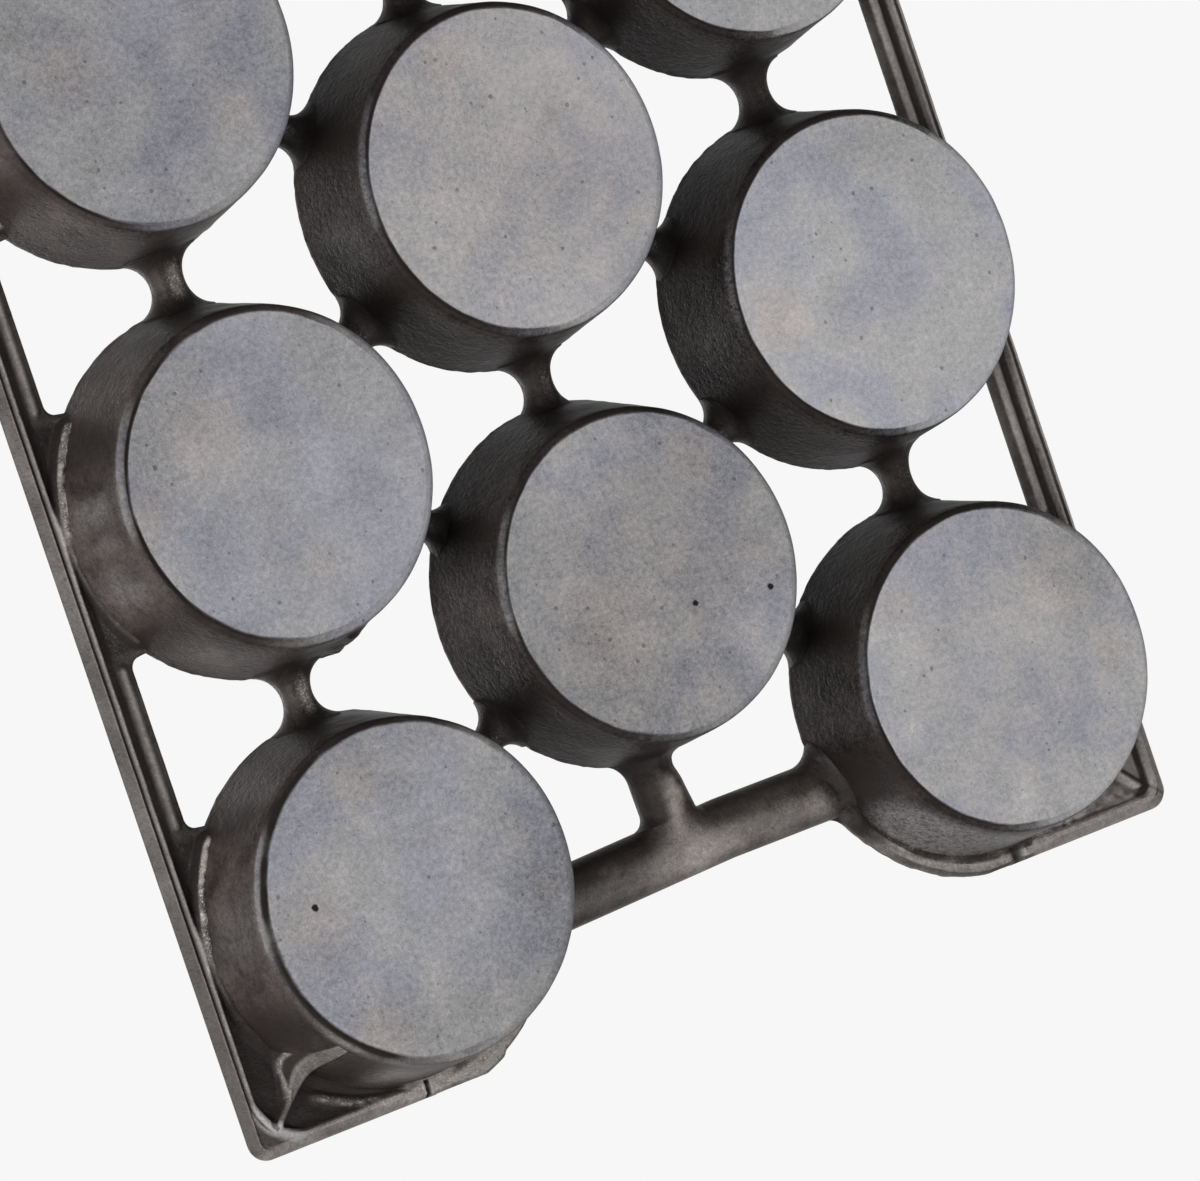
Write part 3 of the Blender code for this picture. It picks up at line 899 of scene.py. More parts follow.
    def skin(self) -> Skin:
        """The cup's surface, with its wear and its painted light and shade.

        The wall gets painted shade, with some seasoning, where webs meet it and near the rim, and painted
        sheen, partly rubbed wear, along its foot, in streaky bands and in patches.
        """
        cup, wear_and_light = self.surface(), self.wear_and_light
        turn = cup.turn
        line = self.edge_line(cup)
        cup.height = cup.height + self.line_depth * line
        worn = self.worn(cup)
        side = np.isin(cup.stage, (ROUNDING, WALL))
        # The plain side lies away from the lit strip and the low arc; its rounding gets painted shade.
        plain_side = (1.0 - self.strip_arc.share(turn)) * (1.0 - self.low_arc.share(turn)) + 0.0 * cup.radius
        on_wall = np.minimum(amount_round(self.contacts, turn) + 0.0 * cup.radius, 1.0)
        on_wall = on_wall * (0.55 + 0.45 * rising(cup.height, 0.001, 0.008))
        # Painted sheen: reflections painted up the wall in patches and streaks, kept off the dark contacts.
        up_wall = hump((cup.height - wear_and_light.sheen_height) / self.sheen_reach) ** 0.8
        sheen = amount_round(wear_and_light.sheens, turn) * up_wall
        sheen_streak = 0.5 + self.sheen_streaks.on_plan(turn * 0.03, np.full_like(turn, self.seed * 0.01), self.seed)
        # Along the wall's foot: painted sheen, partly rubbed wear, strongest off the plain side.
        by_edge = falling(cup.height, 0.003, 0.0025)
        edge_sheen = amount_round(wear_and_light.edge_sheens, turn)
        on_edge = (0.08 + 0.2 * (1.0 - plain_side) + edge_sheen) * by_edge
        rubbed_and_highlight = on_edge + (sheen * (0.7 + 0.6 * sheen_streak) + wear_and_light.plain_streak_sheen * sheen_streak) * (1.0 - on_wall)
        shading = amount_round(wear_and_light.shades, turn) * rising(cup.radius, 0.011, 0.012)
        # tone: the bottom's own tone, and on the wall the painted light and shade of its column.
        paint = {
            "worn": worn,
            "rubbed_and_highlight": np.clip(rubbed_and_highlight, 0.0, 1.0) * side,
            "tone": np.where(worn > 0.5, wear_and_light.tone + shading, wear_and_light.wall_tone),
            "mouth_side": (cup.stage >= RIM).astype(float),
        }
        bottom = (cup.stage <= ROUNDING) * worn
        tints = {"rust": wear_and_light.warm, "cool": wear_and_light.cool, "pale": wear_and_light.pale, "soot": wear_and_light.dark}
        for name, stains in tints.items():
            paint[name] = sum((stain.amount(cup.x, cup.y) for stain in stains), np.zeros_like(cup.x)) * bottom
        # Painted shade, with some seasoning: where webs meet the wall, near the rim, and along the plain
        # side's foot.
        dark = np.maximum(0.9 * on_wall, 0.6 * cup.near_rim)
        dark = dark + 0.28 * plain_side * by_edge * (1.0 - edge_sheen)
        paint["soot"] = np.clip(paint["soot"] + 1.25 * line + dark * side * (1.0 - worn), 0.0, 1.0)
        return turned_skin(cup.radius, cup.height, centre_of(self.node), paint)

    def build(self, material: Material) -> None:
        """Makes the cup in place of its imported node."""
        make_piece("cast_" + self.node, self.skin(), material, [self.node])


@dataclass
class WaistedWeb:
    """A web between two cups: narrow at its middle, and flaring in two arcs that touch both rims."""

    plan: PanPlan
    node: str
    ends: tuple[Pair, Pair]
    edges: Pair
    thickness: float
    seed: int
    light: float = 0.5
    edge_share: float = 0.18
    crown_power: float = 2.3
    foot_fillet: float = 0.003
    foot_reach: float = 0.005
    across: int = 45
    along: int = 75
    lumps: Grain = Grain(0.00012, 0.0045)
    pimples: Grain = Grain(0.00006, 0.0012, 4)
    foot_lumps: Grain = Grain(0.00022, 0.0013, 6)
    flecks: Grain = Grain(0.5, 0.0016, 8)

    def flare(self, half: float, edge: float) -> Triple:
        """The arc of one edge, which touches both rim circles.

        Args:
            half: half the distance between the cups.
            edge: how far the edge lies from the line between the cups, at its nearest.

        Returns:
            The arc's radius, and the places along and across the web where it touches a rim.
        """
        rim = self.plan.rim_radius
        arc = (half ** 2 + edge ** 2 - rim ** 2) / (2 * (rim - edge))
        return arc, half * arc / (rim + arc), (edge + arc) * rim / (rim + arc)

    def skin(self) -> Skin:
        """The web as a function of s across it and t along it, both from -1 to 1.

        Each edge is an arc that touches both rim circles. The section is a flattened oval on a thin edge, and
        rises in a quarter round where it meets each cup's wall.
        """
        plan = self.plan
        start, finish = np.array(self.ends[0]), np.array(self.ends[1])
        span = finish - start
        half = float(np.hypot(*span)) / 2
        way = span / (2 * half)
        s = crowded(self.across)[None, :]
        t = np.linspace(-1.0, 1.0, self.along)[:, None]
        share = (s + 1.0) / 2.0
        flares = [self.flare(half, edge) for edge in self.edges]
        seat_side = flares[1][2] * share - flares[0][2] * (1.0 - share)
        forward = t * (half - np.sqrt(plan.seat ** 2 - seat_side ** 2))
        low, high = (
            edge + arc - np.sqrt(arc ** 2 - np.minimum(np.abs(forward), along) ** 2)
            for edge, (arc, along, _) in zip(self.edges, flares)
        )
        side = high * share - low * (1.0 - share)
        middle = (start + finish) / 2
        x = middle[0] + way[0] * forward - way[1] * side
        y = middle[1] + way[1] * forward + way[0] * side
        top_of_foot = self.thickness + self.foot_fillet
        wall = plan.rim_radius - plan.wall_slope * top_of_foot
        away = np.hypot(half - np.abs(forward), side) - wall
        rise = self.foot_fillet * (1.0 - quarter_round(away / self.foot_fillet))
        oval = (1.0 - np.abs(s) ** self.crown_power) ** (1.0 / self.crown_power)
        section = blend(self.edge_share, 1.0, oval)
        foot = smooth_step(1.1 - away / self.foot_reach)
        rough = self.lumps.on_plan(x, y, self.seed) + self.pimples.on_plan(x, y, self.seed)
        rough = rough + foot * self.foot_lumps.on_plan(x, y, self.seed)
        height = section * (self.thickness + rise) + rough * oval
        # Painted shade, with some soot, at the feet and flanks; painted highlights and glints, with some
        # rubbing, along the crest.
        fine = 0.5 + self.flecks.on_plan(x, y, self.seed)
        crest = hump((s - 0.12) / 0.75) + 0.0 * x
        paint = {
            "soot": 0.92 * foot + 0.35 * (1.0 - crest) * (1.0 - foot),
            "rubbed_and_highlight": self.light * crest * (1.0 - foot) * (0.4 + 0.9 * fine),
            "rust": 0.35 * smooth_step(1.4 * fine - 0.6) * (1.0 - foot) * self.light,
            "glint": self.light * crest * (1.0 - foot),
        }
        paint = {key: np.broadcast_to(part, x.shape) for key, part in paint.items()}
        return slab_below(plan.top, x, y, height, paint)

    def build(self, material: Material) -> None:
        """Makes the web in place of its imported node."""
        make_piece("cast_" + self.node, self.skin(), material, [self.node])


@dataclass(frozen=True)
class CornerForm:
    """How the corner castings of one side are shaped, worn and given painted light and shade. The plain
    values are the left side's.

    The two sides of the pattern were finished by hand, so they differ.
    """

    notch_width: float = 0.0006
    side_floor: float = 0.0009
    flange_floor: float = 0.0006
    flange_ridge: float = 0.0009
    foot_rise: float = 0.0007
    bead_widening: float = 1.2
    merged_side: float = 0.0
    rib_flank: float = 0.0017
    rib_spread: float = 0.003
    blade: float = 0.0016
    soot: float = 0.95
    flange_light: float = 0.55
    band_light: float = 0.62
    band_warmth: float = 0.2
    bead_corner: float = 0.008
    border_light: float = 0.5
    slope_light: float = 0.12
    wedge_light: float = 0.0
    groove_soot: float = 0.0
    bead_light: float = 1.0
    dip_soot: float = 0.75
    second_ridge: float = 1.0
    band_widening: float = 0.0015


LEFT_CORNER = CornerForm()
RIGHT_CORNER = CornerForm(
    notch_width=0.0016,
    side_floor=0.0015,
    flange_floor=0.0019,
    flange_ridge=0.0,
    foot_rise=0.0003,
    bead_widening=0.5,
    merged_side=1.0,
    rib_flank=0.0011,
    rib_spread=0.0012,
    blade=0.0,
    soot=0.1,
    flange_light=0.7,
    band_light=0.0,
    band_warmth=0.28,
    bead_corner=0.0026,
    border_light=0.62,
    slope_light=0.9,
    wedge_light=0.65,
    groove_soot=0.3,
    bead_light=3.2,
    dip_soot=0.3,
    second_ridge=0.0,
    band_widening=0.0004,
)


@dataclass
class Lay:
    """How places of the plan lie to the frame's features.

    Edge and bead are distances inside the outline and inside the outer bead's line. Radius and turn are taken
    about the nearest outer cup, and away from its rim. The rest are shares from 0 to 1, and the last of them
    are filled in as the features are raised.
    """

    form: CornerForm
    x: Array
    y: Array
    edge: Array
    bead: Array
    coarse: Array
    fine: Array
    crumb: Array
    from_row: Array
    radius: Array
    turn: Array
    away: Array
    beyond: Array
    band: Array
    filled: Array
    merged: Array
    in_flange: Array
    in_corner: Array
    by_cup: Array
    inside: Array
    on_slope: Array
    at_corner: Array
    flange_ridge: Array = field(init=False)
    groove_line: Array = field(init=False)
    bead_share: Array = field(init=False)
    inner_share: Array = field(init=False)
    bank: Array = field(init=False)
    bank_lit: Array = field(init=False)
    bank_crest: Array = field(init=False)
    rib_share: Array = field(init=False)
    flank_ridge: Array = field(init=False)
    notch: Array = field(init=False)


@dataclass(frozen=True)
class FrameUnderside:
    """The frame's underside as heights below the rim plane, over the pan's plan.

    From the outer edge inwards it has a slope, a narrow ledge, a bead that goes round the corners, a groove
    and a thin web. Along the ends the slope and the bead are one rounded border. A rough bank follows each
    cup's foot, a second bead each window, and a rib climbs from each corner up the cup's wall.
    """

    plan: PanPlan
    corner_radius: float = 0.0035
    lip: float = 0.0003
    slope_width: float = 0.0015
    slope_height: float = 0.0021
    border_width: float = 0.0022
    ledge_height: float = 0.00175
    bead_inset_side: float = 0.00265
    bead_inset_end: float = 0.00245
    bead_height: float = 0.00235
    bead_half_width: float = 0.00075
    bead_lumps: float = 0.00008
    groove_height: float = 0.0009
    groove_end: float = 0.0044
    groove_line_inset: float = 0.0011
    groove_line_depth: float = 0.0003
    web_height: float = 0.0012
    window_bead_inset: float = 0.0058
    window_bead_half_width: float = 0.0012
    window_bead_height: float = 0.00185
    window_shift: float = 0.0006
    window_edge: float = 0.0005
    window_rounding: float = 0.0008
    window_fillet: float = 0.002
    window_end: float = 0.021
    bank_reach: float = 0.0016
    bank_seat: float = 0.0003
    bank_rise: float = 0.0025
    rib_turn: float = math.radians(45.5)
    rib_foot: float = 0.00245
    rib_climb: float = 0.0152
    rib_start: float = 0.0289
    rib_reach: float = 0.00175
    rib_power: float = 2.4
    rib_end: float = 0.043
    blade_end: float = 0.0385
    second_ridge_rise: float = 0.0006
    flange_height: float = 0.00225
    flange_start: float = 0.0665
    flange_end_loss: float = 0.0007
    band_rounding: float = 0.0007
    least_height: float = 0.0002
    foot_fillet: float = 0.002
    flange_ridge_half_width: float = 0.0015
    flange_ridge_radii: Pair = (0.0349, 0.0328)
    notch_place: float = 0.0615
    notch_depth: float = 0.0013
    lumps: Grain = Grain(1.0, 0.0045, 2)
    pimples: Grain = Grain(1.0, 0.0011, 1)
    crumbs: Grain = Grain(1.0, 0.0007, 3)

    @property
    def window_side(self) -> float:
        """The x of the windows' outer sides."""
        return self.plan.window_side + self.window_shift

    def from_outer_edge(self, x: Array, y: Array, form: CornerForm) -> Array:
        """Inset from the outline: a rounded rectangle, and past the corner cup an arc about the cup."""
        straight = inset_of_box(x, y, self.plan.half_width, self.plan.half_length, self.corner_radius)
        turn = np.arctan2(y - self.plan.outer_row, x - self.plan.column)
        radius = np.hypot(x - self.plan.column, y - self.plan.outer_row)
        band = self.band_radius(turn, form)
        return np.where((y > self.plan.outer_row) & (x < self.plan.column), band - radius, straight)

    def band_radius(self, turn: Array, form: CornerForm) -> Array:
        """Outer radius of the flange's band beyond the corner cup, which narrows towards the handle.

        Where the corner's band is widened, it bulges out to the frame's end line, then steps in.
        """
        reach = self.plan.half_length - self.plan.outer_row
        plain = reach - self.flange_end_loss * past(turn, 90, 60)
        bulge = past(turn, 88, 12) * (1.0 - 0.35 * past(turn, 113, 2)) * (1.0 - past(turn, 122, 18))
        to_end_line = (reach - 0.0001) / np.maximum(np.sin(turn), 0.2)
        widened = np.minimum(plain + form.band_widening * bulge, to_end_line)
        return np.where(bulge > 0.0, widened, plain)

    def row_near(self, y: Array) -> Array:
        """The y of the outer cup that is nearest along the side."""
        middle = (self.plan.outer_row + self.plan.next_row) / 2
        return np.where(y > middle, self.plan.outer_row, self.plan.next_row)

    def window_distance(self, x: Array, y: Array) -> Array:
        """Distance from a side window, whose ends lie window_end from the cups' rows."""
        span = self.plan.outer_row - self.plan.next_row
        along = span / 2 - np.abs(y - self.row_near(y))
        half_length = span / 2 - self.window_end
        inset = inset_of_box(x, np.abs(along), self.window_side, half_length, self.window_fillet)
        return np.where(y > self.plan.outer_row, 1.0, np.maximum(-inset, 0.0))

    def rib(self, radius: Array, turn: Array, level: Array, form: CornerForm) -> tuple[Array, Array, Array]:
        """The corner rib: a blade that climbs steeply to the cup's wall, with a hollow flank on one side.

        Args:
            radius: distance of each place from the corner cup's axis.
            turn: its angle about that axis.
            level: the height of what lies round the rib.
            form: the corner's own widths.

        Returns:
            How much the rib adds to the level, its share from 0 at its foot to 1 on its crest, and the share
            of the low ridge that borders its hollow flank.
        """
        out = radius * np.cos(turn - self.rib_turn)
        off = radius * np.sin(turn - self.rib_turn)
        rise = (np.maximum(out - self.rib_start, 0.0) / self.rib_reach) ** self.rib_power
        crest = self.rib_foot + self.rib_climb / (1.0 + rise)
        near = np.exp(-np.maximum(out - 0.0305, 0.0) / 0.003) * rising(out, 0.0288, 0.0016)
        flank = form.rib_flank + form.rib_spread * near
        other = 0.0008 + 0.0009 * near
        blade = 0.0003 + form.blade * falling(out, self.blade_end, 0.007)
        hollow = np.clip(1.0 + (off + blade) / flank, 0.0, 1.0) ** 1.7
        abrupt = np.sqrt(hump(off / other))
        share = np.where(off < 0.0, hollow, abrupt) * falling(out, self.rib_end, 0.0015)
        added = np.maximum(crest - level, 0.0) * share
        ridge_place = -0.0009 - 0.0035 * falling(out, 0.0375, 0.006)
        ridge = hump((off - ridge_place) / 0.0012) * falling(out, self.blade_end, 0.003) * form.second_ridge
        return added + self.second_ridge_rise * ridge, share, ridge

    def lay(self, east: Array, north: Array, form: CornerForm, seed: int) -> Lay:
        """How places lie to the frame's features, for the same arguments as height."""
        x, y = np.abs(east), np.abs(north)
        plan = self.plan
        half_x, half_y = plan.half_width - self.bead_inset_side, plan.half_length - self.bead_inset_end
        edge = self.from_outer_edge(x, y, form)
        bead = inset_of_box(x, y, half_x, half_y, form.bead_corner)
        grains = (self.lumps, self.pimples, self.crumbs)
        coarse, fine, crumb = (grain.on_plan(east, north, seed) for grain in grains)
        row = self.row_near(y)
        from_row = np.abs(y - row)
        radius = np.hypot(x - plan.column, y - row)
        turn = np.arctan2(y - row, x - plan.column)
        beyond = y > plan.outer_row
        band = beyond * falling(x, plan.column + 0.002, 0.0012)
        filled = beyond * falling(x, self.flange_start, 0.0024)
        at_end = beyond * smooth_step(0.5 + (plan.half_width - x - (plan.half_length - y)) / 0.004)
        merged = np.maximum(at_end, form.merged_side * beyond * past(turn, 14, 12))
        in_flange = beyond * rising(turn, self.rib_turn, math.radians(3))
        inset = np.minimum(x - (half_x - form.bead_corner), y - (half_y - form.bead_corner))
        within_bead = rising(bead, 0.0005, 0.0005)
        return Lay(
            form, x, y, edge, bead, coarse, fine, crumb, from_row, radius, turn, radius - plan.rim_radius,
            beyond, band, filled, merged, in_flange,
            in_corner=beyond * past(turn, 8, 16) * (1.0 - in_flange),
            by_cup=(1.0 - beyond) * within_bead * falling(from_row, self.window_end, 0.002),
            inside=within_bead * (1.0 - filled),
            on_slope=(edge < self.slope_width) * (1.0 - band) * (1.0 - merged),
            at_corner=smooth_step(inset / 0.0035),
        )

    def border(self, lay: Lay) -> Array:
        """The outer edge: a slope with its ledge, a rounded border along the ends, or the flange's band."""
        climb = np.clip(lay.edge / self.slope_width, 0.0, 1.0)
        slope = blend(self.lip, self.slope_height, climb)
        slope = slope + (self.ledge_height - self.slope_height) * rising(lay.edge, self.slope_width, 0.0004)
        rounded = blend(self.lip, self.bead_height, quarter_round(lay.edge / self.border_width))
        band_top = blend(self.lip, self.flange_height, quarter_round(lay.edge / self.band_rounding))
        return blend(blend(slope, rounded, lay.merged), band_top, lay.band)

    def web(self, lay: Lay) -> Array:
        """The thin web inside the bead: a groove, the sunken corner and flange, and a low ridge."""
        form, sunken = lay.form, lay.in_corner + lay.in_flange
        web = blend(self.groove_height, self.web_height, rising(lay.edge, self.groove_end - 0.0002, 0.0004))
        web = blend(web, form.side_floor, lay.in_corner)
        web = blend(web, form.flange_floor, lay.in_flange)
        web = web + form.foot_rise * sunken * (1.0 - quarter_round(lay.away / self.foot_fillet))
        along = np.clip((lay.turn - math.radians(50)) / math.radians(36), 0.0, 1.0)
        off_ridge = (lay.radius - blend(*self.flange_ridge_radii, along)) / self.flange_ridge_half_width
        lay.flange_ridge = hump(off_ridge) * past(lay.turn, 49, 6) * lay.beyond
        web = web + form.flange_ridge * (1.0 + 0.3 * lay.fine) * lay.flange_ridge
        on_line = hump((lay.bead - self.groove_line_inset) / 0.0004) * form.merged_side
        lay.groove_line = on_line * lay.in_flange * smooth_step(0.5 + 1.6 * lay.coarse)
        return web - self.groove_line_depth * lay.groove_line

    def beads(self, lay: Lay, level: Array) -> Array:
        """The level with the outer bead, wider at the corners, and the bead that follows the windows."""
        half_width = self.bead_half_width * (1.0 + lay.form.bead_widening * lay.at_corner)
        lay.bead_share = hump(lay.bead / half_width) ** 0.75 * (1.0 - lay.filled)
        level = blend(level, self.bead_height + self.bead_lumps * lay.coarse, lay.bead_share)
        by_window = rising(lay.from_row, self.window_end, 0.0015) * (~lay.beyond)
        on_bead = hump((lay.edge - self.window_bead_inset) / self.window_bead_half_width)
        lay.inner_share = on_bead ** 0.8 * by_window
        return blend(level, self.window_bead_height + self.bead_lumps * lay.coarse, lay.inner_share)

    def banks(self, lay: Lay, level: Array) -> Array:
        """The level with a rough bank at each cup's foot, crusted where the light falls along it."""
        fade = 1.0 - lay.beyond * past(lay.turn, 20, 16)
        by_rail = falling(lay.from_row, self.window_end - 0.0004, 0.0022)
        by_web = np.where(lay.beyond, 1.0 * (lay.x > self.plan.column), by_rail)
        lay.bank = falling(lay.away, self.bank_reach, self.bank_reach + self.bank_seat) * fade * by_web
        lay.bank_lit = falling(lay.turn, math.radians(9), math.radians(16))
        lay.bank_crest = rising(lay.bank, 0.42, 0.45)
        crust = (0.5 + 0.5 * lay.bank_lit) * (1.0 + 0.11 * lay.fine + 0.06 * lay.crumb)
        return np.maximum(level, blend(level, self.web_height + self.bank_rise * crust, lay.bank))

    def cuts(self, lay: Lay, level: Array) -> Array:
        """The level with the tick in the flange cut in, and its edge rounded along the windows."""
        notch = hump((lay.x - self.notch_place) / lay.form.notch_width) ** 0.35 * lay.beyond
        lay.notch = notch * (lay.edge > -0.001) * (lay.away > 0.0)
        to_window = quarter_round(self.window_distance(lay.x, lay.y) / self.window_rounding)
        return blend(self.window_edge, level - self.notch_depth * lay.notch, to_window)

    def height(self, east: Array, north: Array, form: CornerForm, seed: int) -> tuple[Array, dict]:
        """Heights and painted values at places of the plan.

        Args:
            east: x of each place, of either sign.
            north: y of each place, of either sign.
            form: the shape of this side's corners.
            seed: picks the cast relief.

        Returns:
            The heights below the rim plane, and the painted values.
        """
        lay = self.lay(east, north, form, seed)
        level = blend(self.border(lay), self.web(lay), rising(lay.bead, -0.0003, 0.0006) * (1.0 - lay.filled))
        level = blend(level, self.flange_height, lay.filled * rising(lay.edge, self.band_rounding, 0.0003))
        level = self.banks(lay, self.beads(lay, level))
        added, rib_share, ridge = self.rib(lay.radius, lay.turn, level, form)
        lay.rib_share = rib_share * lay.beyond
        lay.flank_ridge = ridge * lay.beyond * (1.0 - lay.bead_share)
        level = self.cuts(lay, level + added * lay.beyond)
        in_rough = lay.in_flange * (1.0 - lay.bead_share) + lay.bank + lay.flank_ridge + lay.by_cup
        in_rough = np.clip(in_rough, 0.0, 1.0)
        level = level + 0.00006 * lay.coarse + (0.00003 + 0.00006 * in_rough) * lay.fine + 0.00003 * lay.crumb
        return np.maximum(level, self.least_height), self.wear_and_light(lay)

    def wear_and_light(self, lay: Lay) -> dict[str, Array]:
        """The painted values: soot and painted shade in the hollows, rubbed crests with painted highlights
        and glints, and worn metal with some painted sheen on the left bead's corner.
        """
        form = lay.form
        off = lay.radius * np.sin(lay.turn - self.rib_turn)
        by_bead = hump((lay.bead - self.groove_line_inset) / 0.0006)
        creases = np.maximum(hump((off + 0.0012) / 0.0007), by_bead) * lay.in_corner * form.wedge_light
        hollow = falling(lay.rib_share, 0.86, 0.25) * smooth_step(lay.rib_share / 0.08) * (off < 0.0)
        hollow = hollow * form.second_ridge * (1.0 - 0.9 * lay.flank_ridge)
        on_band = np.maximum(lay.band, lay.filled) * (1.0 - lay.notch)
        crest_light = lay.bank_crest * lay.bank_lit
        glint = 0.42 * crest_light + 0.4 * lay.by_cup * smooth_step(0.3 + 1.5 * lay.coarse)
        glint = glint + 0.6 * lay.flange_ridge * (1.0 - form.merged_side) + 0.5 * lay.flank_ridge
        band_rim = on_band * falling(lay.edge, 0.001, 0.0004)
        band_crack = on_band * smooth_step(0.2 + 1.6 * lay.coarse) * falling(lay.away, 0.0016, 0.001)
        on_flange = 0.5 * band_rim + 0.6 * band_crack + 0.16 * form.merged_side * on_band
        soot = self.darkness(lay, creases, hollow) * (1.0 - on_band) + 0.45 * lay.notch + on_flange
        paint = {
            "rubbed_and_highlight": self.lightness(lay, creases, hollow) + form.band_light * on_band,
            "soot": soot,
            "rust": form.band_warmth * on_band + 0.3 * lay.in_flange * lay.inside,
            "worn": 0.75 * lay.bead_share ** 0.6 * lay.at_corner * (1.0 - form.merged_side),
            "glint": glint + 0.14 * lay.rib_share + 0.3 * on_band,
        }
        return {name: np.clip(part, 0.0, 1.0) for name, part in paint.items()}

    def darkness(self, lay: Lay, creases: Array, hollow: Array) -> Array:
        """How dark the groove, the sunken webs, the dips, the creases and the hollow flank are: soot with
        painted shade, and painted shade on the banks' unlit side.
        """
        form, low_bank = lay.form, 1.0 - lay.bank_crest
        groove = lay.inside * (1.0 - rising(lay.edge, self.groove_end, 0.0006)) * (1.0 - lay.in_flange)
        trough = form.soot * lay.inside * (lay.in_corner + lay.in_flange) * (1.0 - lay.rib_share)
        trough = trough * (1.0 - lay.flange_ridge * 0.9) * (1.0 - 0.85 * lay.flank_ridge)
        # The dip inside the outer slope gets a painted shadow, as of the ledge's inner side.
        dip = hump((lay.bead + 0.0008) / 0.0004) * (1.0 - lay.band) * (1.0 - lay.merged)
        bank_foot = smooth_step(lay.bank / 0.2) * low_bank
        dark = 0.75 * groove * low_bank + trough + form.dip_soot * dip + 0.45 * lay.notch
        dark = dark + form.groove_soot * lay.groove_line + 0.9 * creases + 0.65 * lay.by_cup * low_bank
        dark = dark + (0.8 * bank_foot + 0.5 * lay.bank_crest * (1.0 - lay.bank_lit)) * (1.0 - lay.bead_share)
        return dark + 0.35 * lay.on_slope * lay.beyond * (1.0 - form.merged_side) + 0.62 * hollow

    def lightness(self, lay: Lay, creases: Array, hollow: Array) -> Array:
        """How light the slope, the beads, the banks, the ridges and the rib are: rubbed wear, with painted
        highlights and sheen where the lamps fall.
        """
        form, fine = lay.form, lay.fine
        slope_line = hump((lay.edge - self.slope_width) / 0.0003) * (1.0 - lay.band) * (1.0 - lay.merged)
        return (
            0.3 * slope_line
            + form.slope_light * lay.on_slope
            + 0.6 * form.bead_light * lay.bead_share * (1.0 + 0.5 * lay.at_corner)
            + 0.52 * lay.bank_crest * lay.bank_lit * (0.75 + 0.5 * fine)
            + 0.25 * lay.by_cup * smooth_step(0.2 + 1.8 * fine)
            + (0.45 * form.bead_light + 0.15) * lay.inner_share
            + 0.34 * lay.rib_share * (1.0 - 0.8 * hollow)
            + 0.34 * lay.flank_ridge
            + form.flange_light * lay.flange_ridge * (0.6 + 0.8 * fine)
            + form.flange_light * form.merged_side * lay.inside * lay.in_flange * (0.7 + 0.5 * fine)
            + form.wedge_light * lay.inside * lay.in_corner * (1.0 - creases)
            + form.border_light * lay.merged * (lay.edge < self.border_width)
        )

    def skin(self, east: Array, north: Array, form: CornerForm, seed: int) -> Skin:
        """The slab between the underside over a grid of places and the rim plane."""
        level, paint = self.height(east, north, form, seed)
        return slab_below(self.plan.top, east, north, level, paint)


@dataclass
class SideRail:
    """One long side of the frame, between its corner castings, with the webs that reach the outer cups."""

    underside: FrameUnderside
    side: Side
    form: CornerForm
    seed: int
    row_step: float = 0.0005
    fine_step: float = 0.0001
    rim_columns: int = 22
    web_columns: int = 32
    rim_part: float = 0.0034

    def rows(self) -> Array:
        """The y of the grid's rows: an even step, and finer ones where the webs end."""
        form = self.underside
        plan = form.plan
        reach = plan.outer_row
        even = np.linspace(-reach, reach, int(round(2 * reach / self.row_step)) + 1)
        lap = form.window_end + np.arange(-0.0008, 0.0022, self.fine_step)
        fine = [
            sign * (row + turn * lap)
            for sign in (-1, 1)
            for row, turn in ((plan.outer_row, -1), (plan.next_row, 1), (plan.next_row, -1))
        ]
        return np.unique(np.round(np.concatenate([even, *fine]), 7))

    def inner_edge(self, y: Array) -> Array:
        """The x where the rail ends on each row: the window's side, its round corner, or in a cup's wall."""
        form = self.underside
        plan = form.plan
        from_row = np.abs(y - form.row_near(y))
        in_wall = plan.column + np.sqrt(np.maximum(plan.seat ** 2 - from_row ** 2, 0.0))
        corner_x = form.window_side - form.window_fillet
        into_corner = np.clip(form.window_end + form.window_fillet - from_row, 0.0, form.window_fillet)
        rounded = corner_x + np.sqrt(form.window_fillet ** 2 - into_corner ** 2)
        slide = rising(from_row, form.window_end - 0.0004, 0.0004)
        return np.where(from_row < form.window_end, blend(in_wall, corner_x, slide), rounded)

    def skin(self) -> Skin:
        """The grid of rows along the side and columns from the outer edge to the inner one."""
        plan = self.underside.plan
        north = self.rows()[:, None]
        inner = self.inner_edge(np.abs(north))
        rim = np.linspace(0.0, self.rim_part, self.rim_columns)[None, :]
        share = np.linspace(0.0, 1.0, self.web_columns + 1)[None, 1:]
        start = plan.half_width - self.rim_part
        rim_part = np.broadcast_to(plan.half_width - rim, (len(north), self.rim_columns))
        columns = np.concatenate([rim_part, blend(start, inner, share)], axis=1)
        north = np.broadcast_to(north, columns.shape)
        return self.underside.skin(self.side.value * columns, north, self.form, self.seed)

    def build(self, material: Material) -> None:
        """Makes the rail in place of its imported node."""
        node = f"side_rail_{self.side.word}"
        make_piece(f"cast_{node}", self.skin(), material, [node])


